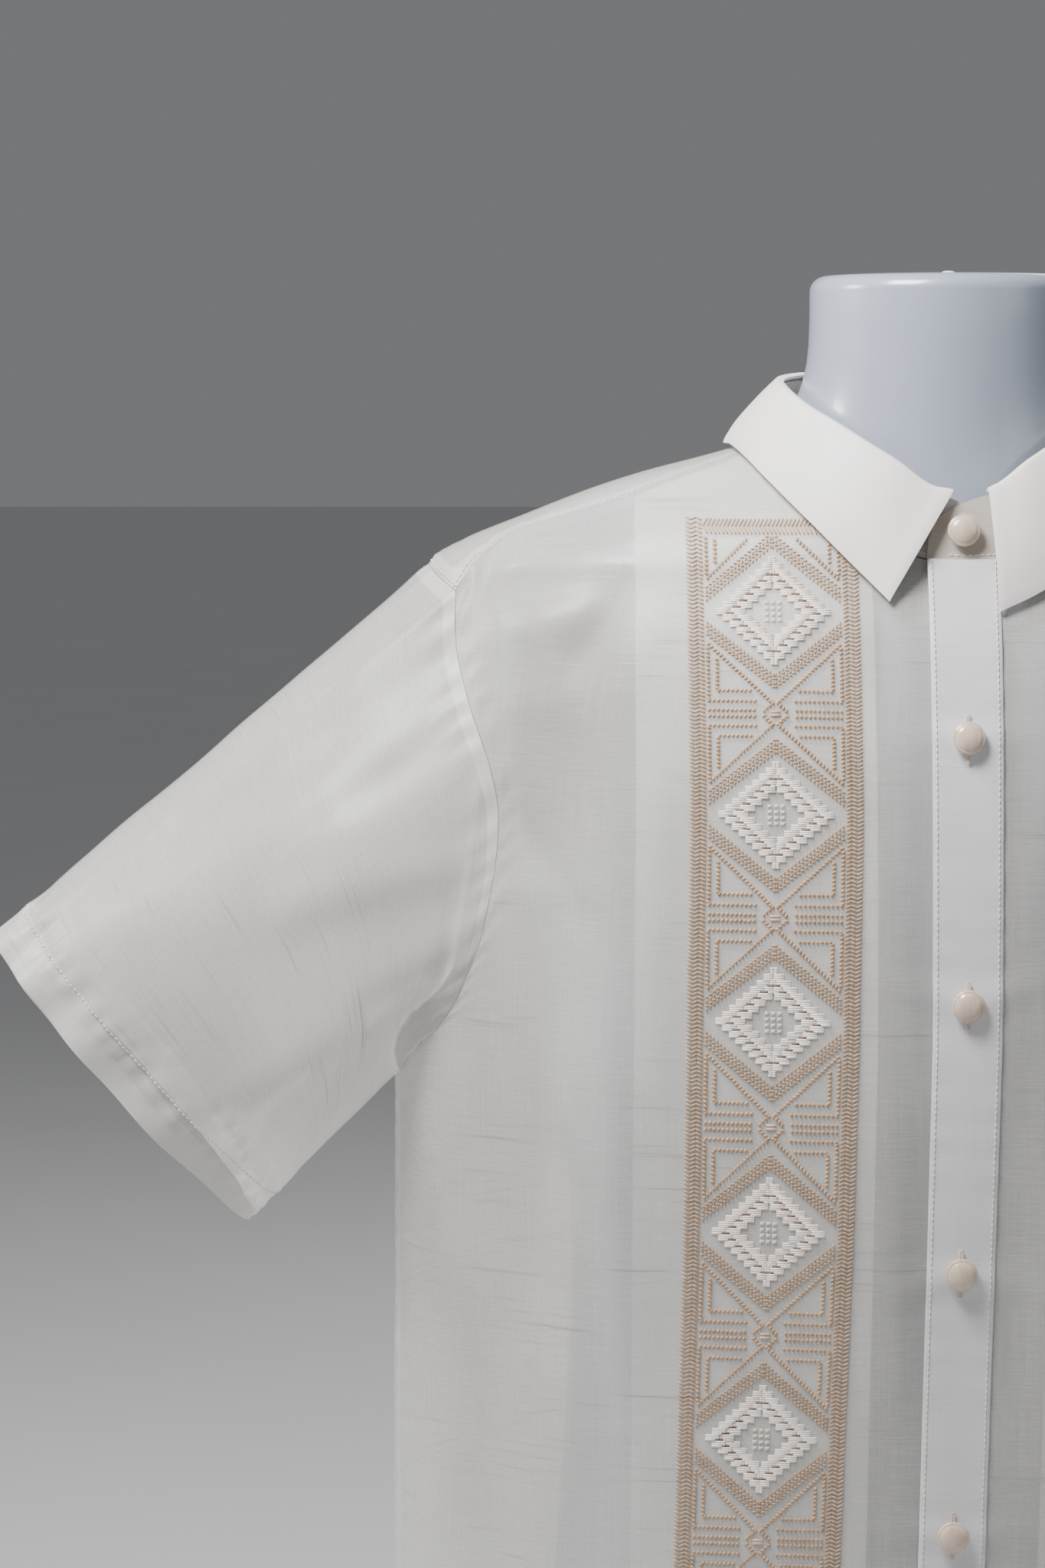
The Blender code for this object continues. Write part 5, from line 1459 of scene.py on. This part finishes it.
# The SHADOW tone is painted shadow: dark stitches laid in the joints of the satin bricks, where shade
# falls.
TAN, PALE, SHADOW = 0.0, 1.0, -0.8
EMBROIDERY_WIDTH = 0.00092
EMBROIDERY_HEIGHT = 0.00082
SATIN_WIDTH = 0.00128
SATIN_HEIGHT = 0.00040
STITCH_LIFT = 0.00022
SLOT_LIFT = 0.00012
UNEVEN_STITCH = 0.05


def running_line(x0, y0, x1, y1, pitch=2.1, share=0.98, slant=0.0, tone=TAN):
    """Stitches in line from one charted point to another, each turned by a slant."""
    length = math.hypot(x1 - x0, y1 - y0)
    count = max(1, round(length / pitch))
    way = np.array([x1 - x0, y1 - y0]) / length
    aside = np.array([-way[1], way[0]])
    half = 0.5 * share * length / count
    made = []
    for k in range(count):
        centre = np.array([x0, y0]) + way * length * (k + 0.5) / count
        run = way * half + aside * slant
        made.append((*(centre - run), *(centre + run), tone))
    return made


def mirror_chart(rows):
    """The same stitches on the chart's other side."""
    return [(-x0, y0, -x1, y1, *rest) for x0, y0, x1, y1, *rest in rows]


def with_girth(girth, rows):
    """Each stitch with its thickness against the usual thread's."""
    return [(*row, girth) for row in rows]


def chevron_arm(sign):
    """Four roped rows of tan stitches from the border to the tip of a chevron."""
    made = []
    for row, shift in enumerate((-2.7, -0.9, 0.9, 2.7)):
        lean = sign if row % 2 else -sign
        made += running_line(28.9, sign * (7.0 + shift), -0.3, sign * (31.2 + shift), 1.95, 0.72,
                             slant=0.58 * lean)
    return made


def satin_ring():
    """Pale bricks of level threads in steps round the diamond, with dark stitches of painted shadow in the
    joints.
    """
    made = []
    for step in range(-8, 9):
        outer = 24.4 - 2.86 * abs(step)
        inner = outer - 12.6
        middle = outer - 6.1
        for row, rise in enumerate((-0.93, 0.0, 0.93)):
            y = 2.78 * step + rise
            slot = 1.70 if row == 2 else 0.0
            made.append((max(middle + slot, 0.0), y, outer, y + 0.04, PALE))
            if middle - slot > 0.8:
                made.append((max(inner, 0.0), y, middle - slot, y + 0.04, PALE))
            if slot and middle > 0.0:
                made.append((middle - 1.6, y, middle + 1.6, y + 0.04, SHADOW))
    return made


def lattice():
    """The small pale grid in the middle of the diamond."""
    made = []
    for column in range(3):
        for row in range(4):
            x = -2.7 + 2.7 * column
            y = -3.9 + 2.6 * row
            made.append((x - 1.0, y - 0.6, x + 1.0, y + 0.7, PALE * 0.9))
            made.append((x - 0.9, y + 0.7, x + 0.9, y - 0.6, PALE * 0.9))
    return made


def corner_lines():
    """The crossing lines, bars and barred corners between two diamonds, on one side."""
    middle = REPEAT / 2
    made = []
    for sign in (-1, 1):
        for x0, y0, x1, y1 in (
                (28.4, 31.5, 1.2, 5.0), (0.4, 5.4, 5.4, 0.6), (7.6, 5.6, 28.8, 5.6),
                (8.0, 1.4, 28.8, 1.4), (9.6, 10.2, 24.6, 10.2), (24.4, 10.2, 24.4, 25.0),
                (28.2, 5.6, 28.2, 30.0)):
            made += running_line(x0, middle + sign * y0, x1, middle + sign * y1, 1.85, 0.52, 0.80)
    made.append((-2.4, middle - 0.8, 2.4, middle - 0.7, 0.25))
    made.append((-2.4, middle + 0.7, 2.4, middle + 0.8, 0.25))
    return made


def border_column():
    """Three columns of slanting tan stitches down one side."""
    made = []
    count = round((BAND_FOOT - BAND_TOP) / 1.78)
    width = (BORDER_OUT - BORDER_IN) / 3
    for k in range(count):
        y = BAND_TOP + (k + 0.5) * (BAND_FOOT - BAND_TOP) / count
        for column in range(3):
            x = BORDER_IN + column * width
            lean = 0.62 if column % 2 else -0.62
            made.append((x - 0.1, y - lean, x + width + 0.1, y + lean, TAN + 0.06 * column))
    return made


def whole_chart():
    """All stitches of one front's strip, as rows of x0, y0, x1, y1, tone and girth."""
    side = (with_girth(1.0, satin_ring()) + with_girth(0.86, chevron_arm(-1) + chevron_arm(1))
            + with_girth(1.45, corner_lines()))
    unit_chart = side + mirror_chart(side) + with_girth(0.8, lattice())
    rows = []
    for number in range(-1, 9):
        for x0, y0, x1, y1, tone, girth in unit_chart:
            low, high = y0 + number * REPEAT, y1 + number * REPEAT
            if BAND_TOP + 7.5 < min(low, high) and max(low, high) < BAND_FOOT:
                rows.append((x0, low, x1, high, tone, girth))
    border = with_girth(0.88, border_column())
    rows += border + mirror_chart(border)
    for x in np.arange(-BORDER_IN + 0.9, BORDER_IN, 1.72):
        rows.append((x - 1.0, BAND_TOP + 0.2, x + 1.0, BAND_TOP + 3.8, TAN, 0.9))
        rows.append((x + 1.0, BAND_TOP + 3.6, x - 1.0, BAND_TOP + 7.0, TAN + 0.08, 0.9))
    return np.array(rows)


def on_front(across, run, side):
    """Charted millimetres set on a front's cloth, as seen on the body."""
    height = between(RUN_TABLE, "run", "height", run)
    centre = between(CENTRE_TABLE, "height", "across", height)
    return drifted(onto_skin(seen(side * (centre + across / MILLIMETRES), height, -1), 2))


def embroider(names, side, seed):
    """The embroidery on one front: its tan threads, and its flat satin bricks."""
    rows = whole_chart()
    generator = np.random.default_rng(seed)
    rows[:, :4] += generator.normal(0, UNEVEN_STITCH, (len(rows), 4))
    tones = np.clip(rows[:, 4] + generator.normal(0, UNEVEN_STITCH, len(rows)), -1, 1)
    starts = on_front(rows[:, 0], rows[:, 1], side)
    ends = on_front(rows[:, 2], rows[:, 3], side)
    middle = 0.5 * (starts + ends)
    ups = outward(middle)
    satin = (rows[:, 4] > 0.95) | (rows[:, 4] < -0.5)
    lift = body_lift(middle) + np.where(rows[:, 4] < -0.5, SLOT_LIFT, STITCH_LIFT)
    raised = ups * lift[:, None]
    pieces = []
    for name, chosen, width, height, blunt in (
            (names[0], ~satin, EMBROIDERY_WIDTH, EMBROIDERY_HEIGHT, TAPERED),
            (names[1], satin, SATIN_WIDTH, SATIN_HEIGHT, BLUNT)):
        pieces.append(lay_stitches(name, (starts + raised)[chosen], (ends + raised)[chosen], ups[chosen],
                                   tones[chosen], width, height, blunt, rows[chosen, 5]))
    return pieces


embroidery_left, satin_left = embroider(("embroidery_left", "satin_left"), 1, 11)
embroidery_right, satin_right = embroider(("embroidery_right", "satin_right"), -1, 12)

# %% [markdown]
# The sewing is laid by the same tree. A seam's stitches follow a line of the panel's own grid, a
# fixed distance in from the edge, so they ride over every fold and pucker as real thread does.

# %% The sewing
SEWING_PITCH = 0.0027
ABOVE = 0.0002


def grid_line(outer, away, gaps, edge, inset, first=0, last=None):
    """Points along a panel a fixed distance in from one of its edges, and their outward ways."""
    lines = range(*slice(first, last).indices(outer.shape[0 if edge in ("left", "right") else 1]))
    points = []
    ways = []
    for k in lines:
        place = (k, slice(None)) if edge in ("left", "right") else (slice(None), k)
        gap, line, way = gaps[edge][place], outer[place], away[place]
        if gap[0] > gap[-1]:
            gap, line, way = gap[::-1], line[::-1], way[::-1]
        points.append([np.interp(inset, gap, line[:, axis]) for axis in range(3)])
        ways.append([np.interp(inset, gap, way[:, axis]) for axis in range(3)])
    return np.array(points), unit(np.array(ways))


def sew(line, ways, pitch=SEWING_PITCH, share=0.78):
    """Even stitches along a line, lying on the cloth."""
    walked = np.concatenate([[0], np.cumsum(np.linalg.norm(np.diff(line, axis=0), axis=1))])
    count = max(2, int(walked[-1] / pitch))
    places = (np.arange(count) + 0.5) * walked[-1] / count
    half = 0.5 * share * walked[-1] / count

    def at(where, what):
        return np.stack([np.interp(where, walked, what[:, axis]) for axis in range(3)], axis=-1)

    ups = unit(at(places, ways))
    return at(places - half, line) + ups * ABOVE, at(places + half, line) + ups * ABOVE, ups


def sewing(name, lines, tone=0.85, width=0.0006, height=0.0005):
    """One mesh of all the sewing on a piece."""
    parts = [sew(line, ways) for line, ways in lines]
    starts, ends, ups = (np.concatenate([part[k] for part in parts]) for k in range(3))
    return lay_stitches(name, starts, ends, ups, np.full(len(starts), tone), width, height)


left_gaps = edge_gaps(left_outer)
right_gaps = edge_gaps(right_outer)
back_gaps = edge_gaps(back_outer)
yoke_gaps = edge_gaps(yoke_outer)
band_gaps = edge_gaps(band_outer)
stand_gaps = edge_gaps(stand_outer)


def hem_line(outer, away, gaps):
    """The stitches of a panel's turned hem."""
    return grid_line(outer, away, gaps, "bottom", HEM_DEPTH - 0.0015)


sewing_left = sewing("sewing_front_left", [hem_line(left_outer, left_away, left_gaps)])
sewing_right = sewing("sewing_front_right", [hem_line(right_outer, right_away, right_gaps)])
sewing_back = sewing("sewing_back", [hem_line(back_outer, back_away, back_gaps)])
sewing_yoke = sewing("sewing_yoke", [
    grid_line(yoke_outer, yoke_away, yoke_gaps, "top", 0.0020),
    grid_line(yoke_outer, yoke_away, yoke_gaps, "left", 0.0020),
    grid_line(yoke_outer, yoke_away, yoke_gaps, "right", 0.0020)])
sewing_band = sewing("sewing_band", [
    grid_line(band_outer, band_away, band_gaps, "left", 0.0020),
    grid_line(band_outer, band_away, band_gaps, "right", 0.0020)])
sewing_stand = sewing("sewing_stand", [
    grid_line(stand_outer, stand_away, stand_gaps, "bottom", 0.0018, 4, -4)])


def sleeve_lines(outer, away):
    """The stitches of a sleeve's turned hem."""
    closed = np.concatenate([outer, outer[:, :1]], axis=1)
    ways = unit(np.concatenate([away, away[:, :1]], axis=1))
    gaps = edge_gaps(closed)
    return [grid_line(closed, ways, gaps, "top", HEM_DEPTH - 0.0015)]


sewing_sleeve_left = sewing("sewing_sleeve_left", sleeve_lines(sleeve_left_outer, sleeve_left_away))
sewing_sleeve_right = sewing("sewing_sleeve_right", sleeve_lines(sleeve_right_outer, sleeve_right_away))

# %% [markdown]
# Each button goes through an upright buttonhole in the band, worked over with close little stitches.
# Only its lower end shows under a button, where the shank also casts its small shadow.

# %% The buttonholes
HOLE_HALF_LENGTH = 0.0092
HOLE_HALF_WIDTH = 0.0011
HOLE_PITCH = 0.0006


def buttonhole(centre, along, ups):
    """Close stitches round one buttonhole, as start and end points."""
    aside = np.cross(along, ups)
    starts, ends = [], []
    for place in np.arange(-HOLE_HALF_LENGTH, HOLE_HALF_LENGTH + 1e-6, HOLE_PITCH):
        for side in (-1, 1):
            starts.append(centre + along * place + aside * side * 0.0001)
            ends.append(centre + along * place + aside * side * HOLE_HALF_WIDTH)
    for end in (-1, 1):
        for step in range(3):
            bar = centre + along * end * (HOLE_HALF_LENGTH + 0.0003 + 0.0004 * step)
            starts.append(bar - aside * HOLE_HALF_WIDTH)
            ends.append(bar + aside * HOLE_HALF_WIDTH)
    return np.array(starts), np.array(ends)


hole_parts = []
for height in BUTTON_HEIGHTS:
    centre = drifted(seen(0.0, height, -1))
    ups = outward(centre)
    along = unit(np.cross(np.array([1.0, 0.0, 0.0]), ups))
    lift = body_lift(centre[None])[0] + SEAM + BAND_THICK + 0.00005
    starts, ends = buttonhole(centre + ups * lift, along, ups)
    hole_parts.append((starts, ends, np.broadcast_to(ups, starts.shape)))
starts, ends, ups = (np.concatenate([part[k] for part in hole_parts]) for k in range(3))
buttonholes = lay_stitches("buttonholes", starts, ends, ups, np.full(len(starts), 0.75), 0.0005, 0.0004)

# %% [markdown]
# Each piece and its trims now hang on the root body, and the solid that it stands for is hidden. The table
# also lists its finish of the record and, as a sheet of cloth, the size that it was cut to before it was
# sewn, but nothing here reads those.

# %% What each piece stands for


def cloth_area(piece):
    """Half the surface of a thin wall, which is its cloth's area."""
    return sum(face.area for face in piece.data.polygons) / 2


SHEETS = (
    (front_left, "front_left", "sheer_cloth", (0.330, 0.780), 0.206,
     [embroidery_left, satin_left, sewing_left]),
    (front_right, "front_right", "sheer_cloth", (0.330, 0.780), 0.203,
     [embroidery_right, satin_right, sewing_right]),
    (back, "back", "sheer_cloth", (0.640, 0.745), 0.420, [sewing_back]),
    (yoke, "yoke", "sheer_cloth", (0.540, 0.210), 0.056, [sewing_yoke]),
    (sleeve_left, "sleeve_left", "sheer_cloth", (0.530, 0.275), 0.097, [sewing_sleeve_left]),
    (sleeve_right, "sleeve_right", "sheer_cloth", (0.530, 0.275), 0.097, [sewing_sleeve_right]),
    (facing_left, "facing_left", "backing_cloth", (0.125, 0.790), 0.082, []),
    (facing_right, "facing_right", "backing_cloth", (0.125, 0.790), 0.080, []),
    (band, "front_band", "collar_cloth", (0.028, 0.735), 0.0206, [sewing_band, buttonholes]),
    (stand, "collar_stand", "collar_cloth", (0.490, 0.036), 0.0165, [sewing_stand]),
    (leaf, "collar_leaf", "collar_cloth", (0.500, 0.075), 0.0250, []),
)

for piece, node, slot, flat, area, trims in SHEETS:
    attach(piece, "root")
    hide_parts(node)
    for trim in trims:
        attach(trim, "root")
    print(node, "cloth area", round(cloth_area(piece), 4), "triangles", 2 * len(piece.data.polygons))
hard_pieces = [(piece, node, "button_shell") for piece, node in buttons]
hard_pieces += [(form, "form_torso", "form_gloss"), (pin, "form_pin", "pin_white")]
for piece, node, slot in hard_pieces:
    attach(piece, "root")
    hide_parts(node)

# %% [markdown]
# The stage is a plain pale floor with soft light. A lamp above and in front makes the shoulders
# bright and lets the body fall off into grey lower down, and one from the left grazes the folds.
# Two weak ones fill the right side and the back.

# %% Floor and light


def area_lamp(name, place, aim, size, power):
    """A soft square lamp that points at a place."""
    data = bpy.data.lights.new(name, "AREA")
    data.shape = "SQUARE"
    data.size = size
    data.energy = power
    lamp = placed(name, data)
    lamp.location = place
    lamp.rotation_euler = (Vector(aim) - Vector(place)).to_track_quat("-Z", "Y").to_euler()


FLOOR_SIZE = 30.0
FLOOR_LEVEL = -0.0005
floor_mesh = bpy.data.meshes.new("floor")
floor_corners = [(x * FLOOR_SIZE, y * FLOOR_SIZE, FLOOR_LEVEL) for x, y in
                 ((-1, -1), (1, -1), (1, 1), (-1, 1))]
floor_mesh.from_pydata(floor_corners, [], [(0, 1, 2, 3)])
floor_finish, floor_tree, floor_shader = new_finish("floor_finish", 0.85)
floor_noise = stretched_noise(floor_tree, add(floor_tree, "ShaderNodeTexCoord").outputs["Object"],
                              (3, 3, 3), 2.0)
floor_tree.links.new(mixed(floor_tree, floor_noise, (0.72, 0.72, 0.72), (0.78, 0.78, 0.78)),
                     floor_shader.inputs["Base Color"])
floor_mesh.materials.append(floor_finish)
floor = placed("floor", floor_mesh)

world = bpy.data.worlds.new("soft_room")
world.use_nodes = True
world.node_tree.nodes["Background"].inputs["Color"].default_value = (0.82, 0.83, 0.85, 1)
world.node_tree.nodes["Background"].inputs["Strength"].default_value = 0.22
bpy.context.scene.world = world
area_lamp("lamp_above", (-0.50, -0.46, 1.52), (-0.14, 0.0, 0.78), 0.40, 27)
area_lamp("lamp_left", (-1.75, 0.05, 1.40), (-0.1, 0.0, 0.95), 0.4, 18)
area_lamp("lamp_right", (1.8, -1.5, 1.5), (0.0, 0.0, 0.60), 1.0, 4)
area_lamp("lamp_behind", (0.9, 1.9, 1.6), (0.0, 0.0, 0.60), 1.0, 14)
